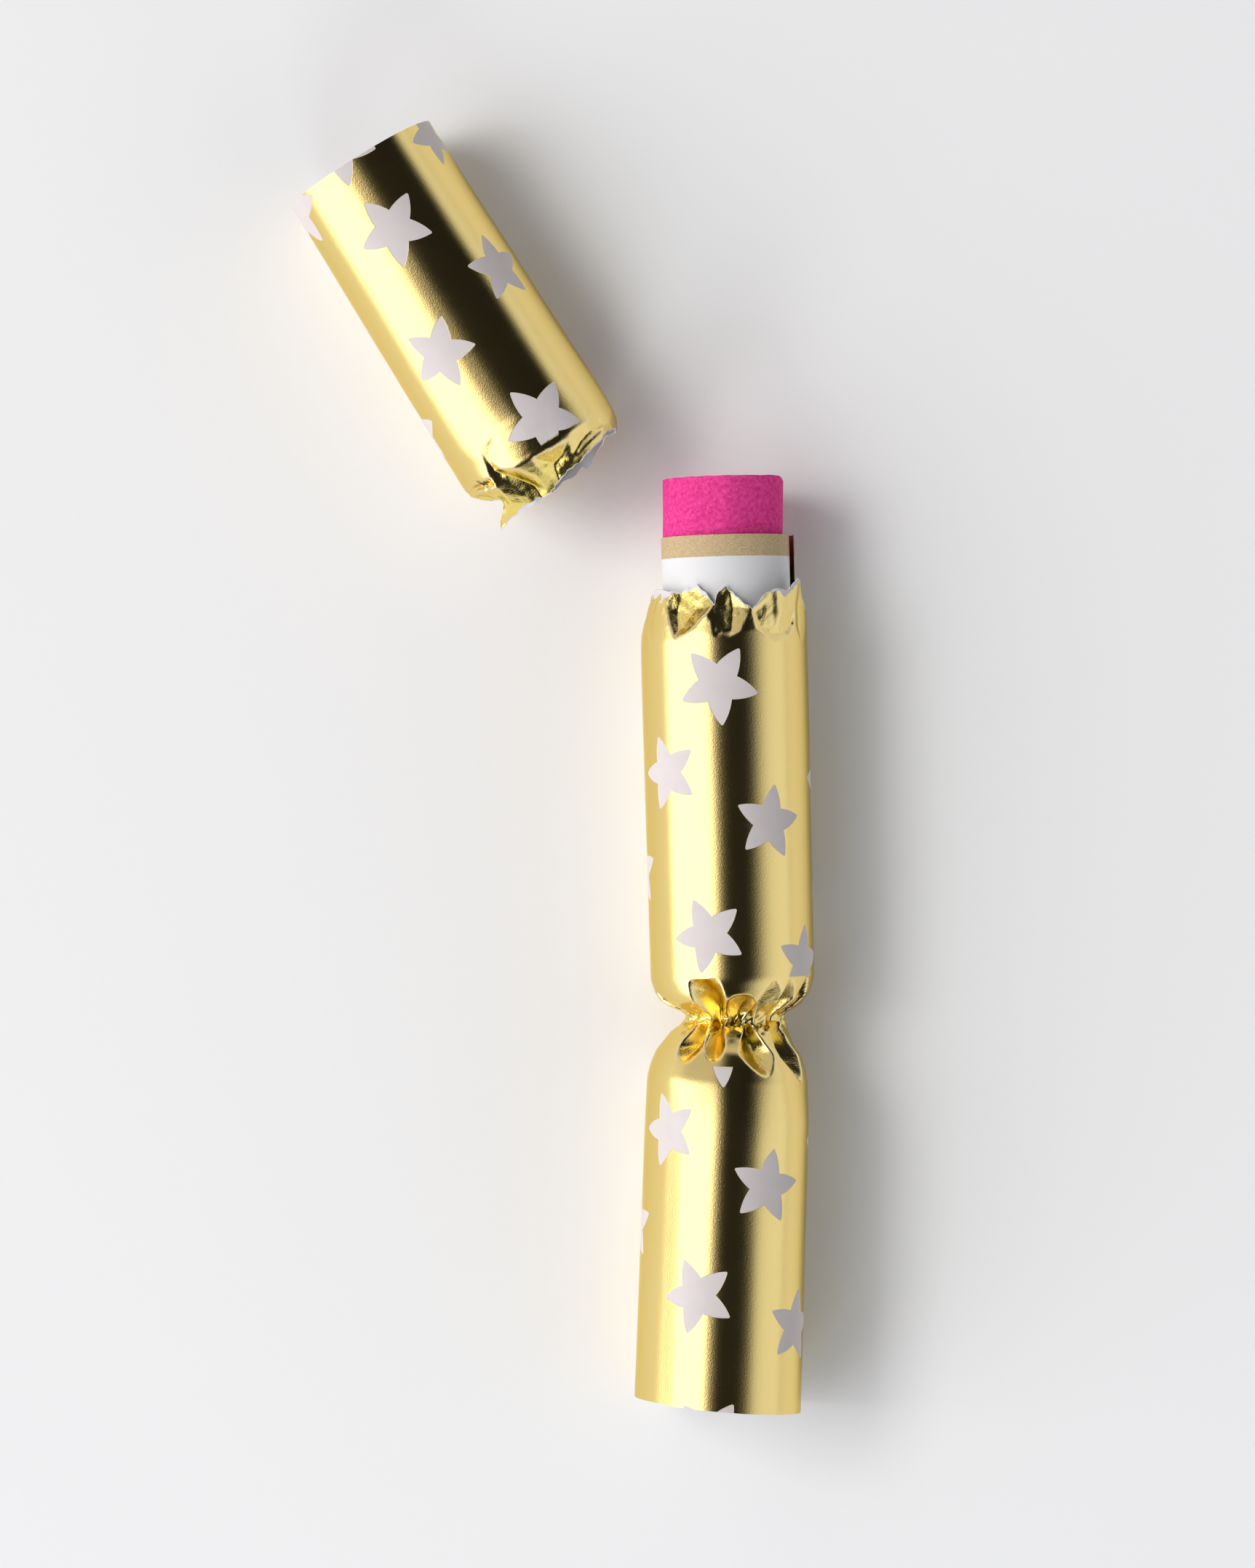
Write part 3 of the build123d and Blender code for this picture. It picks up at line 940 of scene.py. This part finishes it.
# Pale colour along pocket rims: partly real cracked foil showing the paper, partly a painted highlight on the
# crease rims.
CRACK_AND_HIGHLIGHT = (0.93, 0.86, 0.68, 1)
CRACK_AND_HIGHLIGHT_SHARE = 0.55
STAR_PAPER = (0.60, 0.54, 0.51, 1)
STAR_FIBRE = (0.66, 0.605, 0.575, 1)
TORN_PAPER = (0.64, 0.63, 0.65, 1)
PEEL_EDGE = 8.0
PAPER_ROUGHNESS = 0.75
GRAIN_HEIGHT = 0.000014
CLOUD_SCALE = 60.0
SMEAR_SCALE = 150.0
FIBRE_SCALE = 420.0
RAG_SCALE = 700.0
CRACK_SCALE = 1300.0
CRINKLE_SCALE = 3800.0
SPECK_SCALE = 5200.0


def foil(name, low, high, stars):
    """Gold foil paper on the sheet's own map, which runs from low to high along the tube."""
    finish = material(name)
    stretch = math.radians(LAP_END - LAP_START) * wrap_radius
    start = math.radians(LAP_START) * wrap_radius
    sockets = {"Vector": finish.place(UV), "Location": (start, low, 0), "Scale": (stretch, high - low, 1)}
    place = finish.add("ShaderNodeMapping", {"vector_type": "POINT"}, sockets)
    bare = star_mask(finish, place, stars) * (1 - finish.mark("in_neck"))

    solid = finish.place(OBJECT)
    ragged = finish.noise(solid, RAG_SCALE) * 2.2 - 0.55
    torn = ((ragged * finish.mark("peel") - finish.mark("to_tear")) * PEEL_EDGE + 0.5).clamped()
    paper = bare.math("MAXIMUM", bare, torn)

    gold = finish.mix_colour(finish.noise(solid, CLOUD_SCALE, 2.0), GOLD, GOLD_DEEP)
    # Painted reflection: deep pockets take amber in place of the light bounced between their walls.
    gold = finish.mix_colour(finish.mark("deep") * PAINTED_BOUNCE_SHARE, gold, PAINTED_BOUNCE_AMBER)
    # Pocket rims take a pale speckled colour, partly cracked foil and partly a painted highlight along the rims;
    # the same mask roughens the foil.
    crack_and_highlight = (finish.mark("rim") * (finish.noise(solid, CRACK_SCALE) * 2.4 - 0.6)).clamped()
    gold = finish.mix_colour(crack_and_highlight * CRACK_AND_HIGHLIGHT_SHARE, gold, CRACK_AND_HIGHLIGHT)
    star_paper = finish.mix_colour(finish.noise(solid, FIBRE_SCALE, 4.0), STAR_PAPER, STAR_FIBRE)
    colour = finish.mix_colour(bare, gold, star_paper)
    colour = finish.mix_colour(torn, colour, TORN_PAPER)

    foil_rough = 0.10 + finish.noise(solid, SMEAR_SCALE, 4.0) * 0.08 + crack_and_highlight * 0.2
    rough = finish.mix_value(paper, foil_rough, PAPER_ROUGHNESS)
    speck = finish.noise(solid, SPECK_SCALE, 3.0, 0.6)
    crinkle = finish.noise(solid, CRINKLE_SCALE)
    grain = speck * (1 - paper * 0.6) + crinkle * (finish.mark("crease") * 2.4 + 0.65) - bare * 1.2
    normal = finish.bump(grain, GRAIN_HEIGHT)
    return finish.surface(
        base_color=colour, metallic=1 - paper, roughness=rough, specular_tint=GOLD_EDGE, normal=normal
    )


print("foil finish ready")

# %% Stars of the main wrapper
STAR_PERIOD = 53.0
star_tile = [
    Star(-1.2, 49.2, 58, 6.15), Star(-10.1, 36.45, 36, 5.65), Star(6.2, 28.85, 8.5, 5.65),
    Star(-3.65, 12.55, 41, 5.75), Star(12.6, 8.2, 10, 5.6), Star(20.8, 34.7, 30, 5.5),
    Star(-19.5, 22.0, 20, 5.5), Star(-27.0, 44.0, 52, 5.6), Star(28.0, 48.0, 5, 5.5),
    Star(23.0, 18.0, 35, 5.5), Star(33.0, 31.0, 60, 5.6), Star(-33.0, 10.0, 15, 5.5),
    Star(-30.5, 28.0, 40, 5.5),
]
mouth_stars = [Star(-1.1, -61.2, 58, 6.15), Star(28.0, -58.0, 5, 5.5), Star(-27.0, -61.0, 52, 5.6)]
main_stars = mouth_stars + [
    star._replace(station=star.station - STAR_PERIOD * tile) for tile in range(2) for star in star_tile
]
main_foil = foil("gold_star_foil", SHEET_LOW, SHEET_HIGH, main_stars)
print(len(main_stars), "stars on the main wrapper")

# %% [markdown]
# ## Plain paper
#
# The back of the foil is bare white paper, and so is the torn edge. Plain paper needs no picture: two sizes
# of noise are enough, a wide one for the cloudy colour and a fine one for the felt of fibres. One helper
# makes them, and the kraft back and the cards use it again.

# %% Paper inside
CLOUD_SIZE = 6


def plain_paper(name, colour, shade, grain_size, bump=0.00001, rough=0.8):
    """Uncoated paper: a little cloudiness in the colour and a felt of fibres in the surface."""
    finish = material(name)
    solid = finish.place(OBJECT)
    cloud = finish.noise(solid, 1 / (grain_size * CLOUD_SIZE * MM))
    fibre = finish.noise(solid, 1 / (grain_size * MM), 5.0, 0.7)
    tone = finish.mix_colour(cloud * 0.6 + fibre * 0.4, colour, shade)
    normal = finish.bump(fibre, bump, 0.6)
    return finish.surface(base_color=tone, roughness=rough, specular_ior_level=0.2, normal=normal)


white_paper = plain_paper("white_paper", (0.86, 0.85, 0.86, 1), (0.76, 0.75, 0.76, 1), 0.25)
two_sided(main_wrapper, main_foil, white_paper, PAPER_WALL)

blend_start = (barrel.origin + barrel.along * BLEND_REACH) * MM
blend_end = (kept_end.origin - kept_end.along * BLEND_REACH) * MM
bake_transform(main_wrapper)
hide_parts("barrel_wrapper", "neck_gather", "end_wrapper")
print("main wrapper has", len(main_wrapper.data.polygons), "faces")

# %% [markdown]
# ## The torn end
#
# The other end came off with half of its crimp. It is the same sheet with the same foil, laid the other way
# up. Its choke is closed further than the barrel's. Creases are laid where the real ones are at the front,
# pockets close the back, and the tear leaves a spike at the left.

# %% Torn end's pockets
TORN_FLOOR = 6.8
CHOKE_STATIONS = [-9, -7, -6, -5, -4, -3, -2, -1, 0, 3]
CHOKE_RIDGES = [9.0, 9.6, 10.0, 10.5, 11.0, 11.5, 11.95, 12.2, 12.3, 12.3]
torn_folds = back_pockets(
    9, first=104, count=6, pitch=30, tip=-0.9, tip_play=0.7, root=-10, half=15, floor=TORN_FLOOR, blunt=0.5
)
choke_creases = [
    tube_ring(4.2, NET_ANGLES),
    [(-12.1, 1.0, -2.2), (-11.7, -1.7, -2.2), (-10.2, -3.2, -2.0), (-8.0, -6.0, -2.0), (-7.0, -9.0, -2.0)],
    [(-12.4, 1.0, 1.0), (-12.4, -0.1, 1.0), (-11.6, -0.8, 1.2), (-12.0, -1.7, 0.8), (-10.6, -3.2, 0.9),
     (-8.8, -5.2, 1.0), (-7.5, -9.0, 1.0)],
    [(-12.4, -0.1, 1.0), (-11.35, -0.4, 5.1), (-8.5, -1.0, 8.95)],
    [(-11.6, -0.8, 1.2), (-10.3, -1.1, 4.8), (-8.0, -1.6, 7.6)],
    [(-12.0, -1.7, 0.8), (-10.8, -1.8, 5.3), (-8.5, -2.6, 8.6)],
    [(-12.4, -0.1, 1.0), (-10.9, -2.2, 2.0), (-9.6, -3.3, 3.0), (-8.4, -4.7, 5.6)],
    [(-7.7, 3.2, 9.6), (-8.2, 0.0, 9.15), (-8.5, -1.0, 8.95), (-8.0, -1.6, 7.6), (-8.5, -2.6, 8.6),
     (-7.9, -4.1, 7.9), (-8.4, -4.7, 5.6), (-7.6, -9.0, 4.8)],
    [(-7.7, 3.2, 9.6), (-7.3, 1.1, 9.4), (-7.1, -0.6, 8.95), (-6.5, -3.1, 8.8), (-4.8, -6.6, 7.7),
     (-4.6, -9.0, 6.8)],
    [(-7.1, -0.6, 8.95), (-6.3, -0.9, 10.4), (-4.7, -1.9, 11.3), (-2.5, -4.8, 10.2), (-2.3, -7.1, 8.4),
     (-2.2, -9.0, 7.6)],
    [(-6.2, -1.9, 9.2), (-5.0, -3.3, 8.4), (-3.5, -5.4, 7.9), (-3.5, -9.0, 6.8)],
    [(-2.5, -4.8, 10.2), (-0.2, -6.8, 8.9), (-0.2, -9.0, 8.0)],
    [(-2.5, -4.8, 10.2), (-1.7, -3.9, 10.9), (-1.8, -2.0, 12.0), (1.2, -2.2, 11.9), (4.1, -2.5, 11.3),
     (3.4, -4.7, 10.3), (2.9, -5.6, 10.0), (2.9, -9.0, 8.6)],
    [(-0.3, -3.6, 10.2), (0.4, -4.3, 9.7), (1.9, -4.0, 9.9)],
    [(4.1, -2.5, 11.3), (4.9, -1.8, 11.2), (7.3, -1.6, 9.8), (9.6, -1.5, 7.6), (9.9, -3.3, 6.7),
     (10.3, -4.6, 5.6), (10.0, -9.0, 4.4)],
    [(5.2, -3.8, 9.9), (7.5, -3.1, 8.8), (9.1, -2.9, 7.4)],
    [(3.4, -4.7, 10.3), (3.7, -5.1, 10.2), (6.2, -4.4, 10.1), (9.2, -3.7, 8.5)],
    [(3.2, -6.4, 9.7), (6.0, -5.6, 9.8), (8.9, -4.8, 8.4), (9.0, -9.0, 7.6)],
    [(12.0, 0.5, 2.6), (11.8, -2.0, 3.2), (11.0, -3.9, 3.4), (10.0, -5.5, 3.0), (9.0, -9.0, 3.0)],
    [(12.1, 0.5, -1.5), (12.0, -2.2, -1.5), (11.1, -4.0, -1.5), (9.6, -6.0, -1.5), (8.6, -9.0, -1.5)],
]
choke_net = crease_net(choke_creases)
TORN_ANGLES = [
    -172, -160, -140, -120, -100, -88, -84, -70, -58, -56, -52.5, -49, -36, -16, -2, 8, 21, 37, 49, 62, 75,
    90, 105, 122, 132, 138, 150, 160, 175, 198,
]
TORN_LENGTHS = [
    7.0, 7.05, 5.2, 4.8, 3.6, 2.7, 3.3, 4.2, 4.8, 5.2, 9.5, 8.6, 7.6, 7.7, 6.95, 6.4, 6.1, 5.3, 4.5, 4.3,
    4.4, 4.8, 4.4, 5.2, 6.6, 7.1, 6.2, 6.8, 6.6, 7.0,
]
print(len(torn_folds), "pockets and", len(choke_net), "facets in the torn choke")

# %% Roll the torn end
TORN_COLUMNS = 270
CHOKE_END = 5.0
CHOKE_ROWS = 10.5
CHOKE_SPAN = 11.0
CHOKE_LEAN, CHOKE_SHIFT = 1.6, -0.2
BACK_DRAW = 2.4
BACK_SIDES, BACK_STATIONS = (95, 130), (1, 7)
CHOKE_NET_SIDES, CHOKE_NET_END = (88, 100), (3.2, 4.0)
TORN_SHOULDER = (1, 6)
TORN_ROUND = [-60, -50, -45, -25, -12, -6, 0, 10, 18, 25, 30, 35, 40, 50]
TORN_TILTS = [3, 4, 3, 3, 3, 0, 0, -1, -4, -5, -2, 1, 2, 0]
torn_rows = stations((0.0, CHOKE_ROWS, 0.2), (CHOKE_ROWS, CHOKE_SPAN + torn_mouth_station - CHOKE_END, 2.4))

torn_wrapper, across, along = flat_sheet("torn_foil_wrapper", TORN_COLUMNS, len(torn_rows) - 1)
angle = spread_angles(across)
nominal = np.interp(along, np.linspace(0, 1, len(torn_rows)), torn_rows)
tear = -torn_line(angle, TORN_ANGLES, TORN_LENGTHS, seed=31)
in_choke = nominal < CHOKE_ROWS
choke_share = np.clip(nominal / CHOKE_ROWS, 0, 1)
rest_share = np.clip((nominal - CHOKE_ROWS) / (torn_rows[-1] - CHOKE_ROWS), 0, 1)
past_choke = CHOKE_END + rest_share * (torn_mouth_station - CHOKE_END)
station = np.where(in_choke, tear + choke_share * (CHOKE_END - tear), past_choke)

late = CHOKE_LEAN * np.sin(np.radians(angle)) + CHOKE_SHIFT
ridge = flowing(station + late, CHOKE_STATIONS, CHOKE_RIDGES)
ridge -= BACK_DRAW * step(np.abs(angle), *BACK_SIDES) * step(-station, *BACK_STATIONS)
paper = pleated(angle, station, ridge, torn_folds, wrap_radius)
front = (1 - step(np.abs(angle), *CHOKE_NET_SIDES)) * (1 - step(station, *CHOKE_NET_END))
radius, depth, rims = with_creases(choke_net, angle, station, paper, front)
creased = np.clip(depth / CREASED_DEPTH, 0, 1)
radius += small_bumps(angle, station, creased, seed=41)
radius += out_of_round(angle, TORN_ROUND, TORN_TILTS) * step(station, *TORN_SHOULDER)
radius -= tuck(angle)
print("torn wrapper:", len(torn_wrapper.data.vertices), "points,", len(torn_rows), "rows")

# %% Spike of the torn end
SPIKE_ANGLE, SPIKE_HALF = -47.0, 11.0
SPIKE_ROOT_ANGLES, SPIKE_ROOT_STATIONS = [-58, -36], [-4.9, -7.5]
SPIKE_LENGTH = 4.0
SPIKE_BEND = (-4.3, 1.4, -3.6)
TORN_WIDE_STATIONS = [-8, 0, torn_mouth_station]
TORN_WIDE_SHARES = [1.01, 1.02, 0.968]

arc = np.radians(angle) * wrap_radius
past_root = np.interp(angle, SPIKE_ROOT_ANGLES, SPIKE_ROOT_STATIONS) - station
spike = np.clip(past_root / SPIKE_LENGTH, 0, 1.2) * (np.abs(angle - SPIKE_ANGLE) < SPIKE_HALF)
spike_bumps = 0.35 * crumple(arc, station * STRETCHED, 1.1, seed=44)
spike_bumps += 0.1 * crumple(arc, station, 0.7, seed=45)
radius += np.clip(spike, 0, 1) * spike_bumps
wide = np.interp(station, TORN_WIDE_STATIONS, TORN_WIDE_SHARES)
points = on_tube(torn_end, angle, radius, station, wide)
points += np.outer(spike, np.dot(SPIKE_BEND, [torn_end.right, torn_end.along, UP]))
points[:, 2] = np.maximum(points[:, 2], 0)
move_points(torn_wrapper, points)
print("spike of", SPIKE_LENGTH, "mm, bent by", SPIKE_BEND)

# %% Finish the torn end
TORN_LOW, TORN_HIGH = -10.0, torn_mouth_station + 1.0
TORN_PEEL_ANGLES = [-60, -52, -46, -34, -25]
TORN_PEEL_WIDTHS = [0.25, 0.5, 1.0, 0.9, 0.25]
# Pocket depths over which the amber fades in: a painted reflection of the light bounced between pocket walls.
TORN_PAINTED_BOUNCE_DEPTHS = (0.2, 1.8)
TORN_NECK = (-1.2, -1.0)
lay_sheet_uv(torn_wrapper, angle, station, TORN_LOW, TORN_HIGH)
mark_sheet(
    torn_wrapper,
    to_tear=np.where(in_choke, station - tear, NO_TEAR),
    peel=np.interp(angle, TORN_PEEL_ANGLES, TORN_PEEL_WIDTHS),
    crease=creased,
    rim=rims,
    # Share of the painted amber reflection in deep pockets.
    deep=step(depth, *TORN_PAINTED_BOUNCE_DEPTHS),
    in_neck=1 - step(station, *TORN_NECK),
)
torn_stars = [
    Star(-1.2, 37.1, 108, 5.85), Star(10.3, 24.5, 155, 5.5), Star(-5.3, 18.1, 127, 5.6),
    Star(2.6, 2.1, 110, 6.1), Star(-2.1, 51.7, 112, 6.1), Star(-15.8, 47.2, 151, 6.1),
    Star(14.1, 46.6, 180, 5.2), Star(-18.9, 10.2, 150, 5.5), Star(25.0, 8.0, 130, 5.5),
    Star(24.0, 32.0, 160, 5.5), Star(-24.0, 28.0, 120, 5.5), Star(33.0, 18.0, 140, 5.5),
    Star(-31.0, 12.0, 170, 5.5), Star(31.0, 45.0, 150, 5.5), Star(-29.0, 41.0, 135, 5.5),
]
torn_foil = foil("torn_star_foil", TORN_LOW, TORN_HIGH, torn_stars)
two_sided(torn_wrapper, torn_foil, white_paper, PAPER_WALL)
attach(torn_wrapper, "torn_end")
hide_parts("torn_end_wrapper")
print("torn end has", len(torn_wrapper.data.polygons), "faces")

# %% [markdown]
# ## The motto slip
#
# The slip is a strip of kraft paper with a white panel, rolled once round, and its white side faces out. The
# two ends of the strip meet at the right: one lies on top and the other stands up outside it, so a dark gap
# shows between them. A closed tube couldn't show that gap, so a grid is rolled a little more than one turn,
# and its last part opens outwards.

# %% Roll the slip
SLIP_GRID = (150, 40)
SLIP_TOP = 71.2
SLIP_LENGTH = 47.6
SLIP_RADIUS = 9.5
SLIP_WALL = 0.1
SLIP_SHIFT = 0.55
SLIP_RISE = 0.3
SLIP_START, SLIP_FINISH = 97.0, -278.0
FLARE_START = 200.0
SLIP_FLARE = 0.75


def on_roll(side, rise, radius, angle, station):
    """Places on a roll whose middle is shifted to the side and raised, inside the barrel."""
    turn = np.radians(angle)
    aside = side + radius * np.sin(turn)
    above = rise + radius * np.cos(turn)
    flat = barrel.origin + np.outer(station, barrel.along)
    return flat + np.outer(aside, barrel.right) + np.outer(above, UP)


slip, across, along = flat_sheet("rolled_slip", *SLIP_GRID)
angle = SLIP_START + (SLIP_FINISH - SLIP_START) * (1 - across)
station = SLIP_TOP - SLIP_LENGTH * (1 - along)
radius = SLIP_RADIUS + SLIP_FLARE * step(-angle, FLARE_START, -SLIP_FINISH)
move_points(slip, on_roll(SLIP_SHIFT, SLIP_RISE, radius, angle, station))
lay_uv(slip, across, along)
slip_width = math.radians(SLIP_START - SLIP_FINISH) * SLIP_RADIUS
print("slip:", round(slip_width, 1), "by", SLIP_LENGTH, "mm when flat")

# %% Finish the slip
KRAFT_DARK = (0.42, 0.30, 0.145, 1)
KRAFT_LIGHT = (0.61, 0.465, 0.27, 1)
PANEL_WHITE = (0.73, 0.72, 0.69, 1)
PANEL_SHADE = (0.69, 0.68, 0.65, 1)
KRAFT_MARGIN = 3.2
PANEL_EDGE = 900.0
KRAFT_FIBRE = 3400.0
PANEL_CLOUD = 300.0


def slip_finish(name):
    """Kraft paper with a white panel that stops short of the top edge."""
    finish = material(name)
    solid = finish.place(OBJECT)
    fibre = finish.noise(solid, KRAFT_FIBRE, 4.0, 0.7)
    kraft = finish.mix_colour((fibre * 3.0 - 1.0).clamped(), KRAFT_DARK, KRAFT_LIGHT)
    panel = finish.mix_colour(finish.noise(solid, PANEL_CLOUD) * 0.5, PANEL_WHITE, PANEL_SHADE)
    along = finish.add("ShaderNodeSeparateXYZ", {}, {"Vector": finish.place(UV)}, output=1)
    white = (((1 - KRAFT_MARGIN / SLIP_LENGTH) - along) * PANEL_EDGE + 0.5).clamped()
    colour = finish.mix_colour(white, kraft, panel)
    normal = finish.bump(fibre, 0.000012, 0.6)
    return finish.surface(base_color=colour, roughness=0.75, specular_ior_level=0.25, normal=normal)


kraft_back = plain_paper("kraft_back", (0.40, 0.29, 0.14, 1), (0.30, 0.21, 0.09, 1), 0.3)
two_sided(slip, slip_finish("kraft_slip"), kraft_back, SLIP_WALL)
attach(slip, "slip")
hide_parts("motto_slip")
print("slip has", len(slip.data.polygons), "faces")

# %% [markdown]
# ## The paper hat
#
# A tissue crown is folded flat and rolled up, so its end shows a spiral of soft layers. A grid rolled on a
# spiral gives those layers. The outer turn is a little flat in places, as a hand-rolled packet is.

# %% Roll the hat
HAT_GRID = (480, 36)
HAT_TOP = 80.0
HAT_LENGTH = 47.6
HAT_RADIUS = 8.88
HAT_TURNS = 5
HAT_PITCH = 1.25
HAT_LAYER = 0.55
HAT_SHIFT = 0.2
HAT_RISE = 0.2
HAT_LEAN = 0.03
HAT_LAP = 180.0
LAP_SHARE = 0.2
HAT_FLATS = [-60, -20, 4, 7, 25, 45, 60]
HAT_TILTS = [0, 2, -6, 9, 2, -8, 0]
HAT_FLATNESS = 0.7
INNER_SINK = 0.25
SIDE_SINK = 1.0
SIDE_ANGLES = (60, 95)

hat, across, along = flat_sheet("rolled_hat", *HAT_GRID)
inwards = (1 - across) * HAT_TURNS
angle = turn_between(HAT_LAP - 360 * inwards, 0)
station = HAT_TOP - HAT_LENGTH * (1 - along)
layer = np.floor(inwards) + step(inwards % 1, 1 - LAP_SHARE, 1)
radius = HAT_RADIUS - HAT_PITCH * layer + out_of_round(angle, HAT_FLATS, HAT_TILTS) * HAT_FLATNESS
arc = np.radians(angle) * HAT_RADIUS
radius += 0.04 * crumple(arc, station, 5.0, seed=51)
near_top = step(along, 0.9, 1)
station = station - (INNER_SINK * np.clip(inwards, 0, 2) + SIDE_SINK * step(angle, *SIDE_ANGLES)) * near_top
station = station + 0.08 * crumple(arc, 0 * angle, 3.0, seed=52) * near_top
aside = HAT_SHIFT + HAT_LEAN * np.clip(station - SLIP_TOP, 0, None)
move_points(hat, on_roll(aside, HAT_RISE, radius, angle, station))
lay_uv(hat, across, along)
print("hat:", HAT_TURNS, "turns,", len(hat.data.vertices), "points")

# %% Finish the hat
DYE_DEEP = (0.62, 0.022, 0.185, 1)
DYE_LIGHT = (0.84, 0.07, 0.30, 1)
LINT = (0.98, 0.40, 0.60, 1)
LINT_SHARE = 0.28
DYE_CLOUD = 1700.0
TISSUE_FIBRE = 2600.0
TISSUE_CRINKLE = 260.0


def tissue(name):
    """Coloured tissue: cloudy dye, pale fibres and a soft crinkle."""
    finish = material(name)
    solid = finish.place(OBJECT)
    cloud = finish.noise(solid, DYE_CLOUD, 4.0, 0.65)
    fibre = finish.noise(solid, TISSUE_FIBRE, 3.0, 0.6)
    dye = finish.mix_colour((cloud * 3.0 - 1.0).clamped(), DYE_DEEP, DYE_LIGHT)
    lint = (fibre * 6.0 - 3.5).clamped()
    colour = finish.mix_colour(lint * LINT_SHARE, dye, LINT)
    normal = finish.bump(finish.noise(solid, TISSUE_CRINKLE) + fibre * 0.25, 0.00006, 0.5)
    return finish.surface(base_color=colour, roughness=0.9, specular_ior_level=0.15, normal=normal)


hat.data.materials.append(tissue("pink_tissue"))
apply_modifier(hat, "SOLIDIFY", thickness=HAT_LAYER * MM, offset=-1)
smooth(hat)
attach(hat, "hat")
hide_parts("paper_hat")
print("hat has", len(hat.data.polygons), "faces")

# %% [markdown]
# ## Card inside
#
# The liners, the snap strips and the sleeve keep their solids from the frame, because their shapes are
# already right. They only need a finish: grey board for the liners, darker card for the strips and pale
# paper for the sleeve.

# %% Card finishes
liner_card = plain_paper("liner_card", (0.72, 0.68, 0.60, 1), (0.58, 0.54, 0.47, 1), 0.5, bump=0.00002)
snap_card = plain_paper("snap_card", (0.66, 0.62, 0.54, 1), (0.50, 0.46, 0.39, 1), 0.4, bump=0.00002)
sleeve_paper = plain_paper("sleeve_paper", (0.80, 0.78, 0.72, 1), (0.70, 0.67, 0.60, 1), 0.3)
card_of = {
    "barrel_liner": liner_card, "end_liner": liner_card, "torn_end_liner": liner_card,
    "snap_strip_gripped": snap_card, "snap_strip_loose": snap_card, "snap_sleeve": sleeve_paper,
}
for node, card in card_of.items():
    solid_node = frame["nodes"][node]
    solid_node.data.materials.clear()
    solid_node.data.materials.append(card)
print("finished", len(card_of), "card nodes")
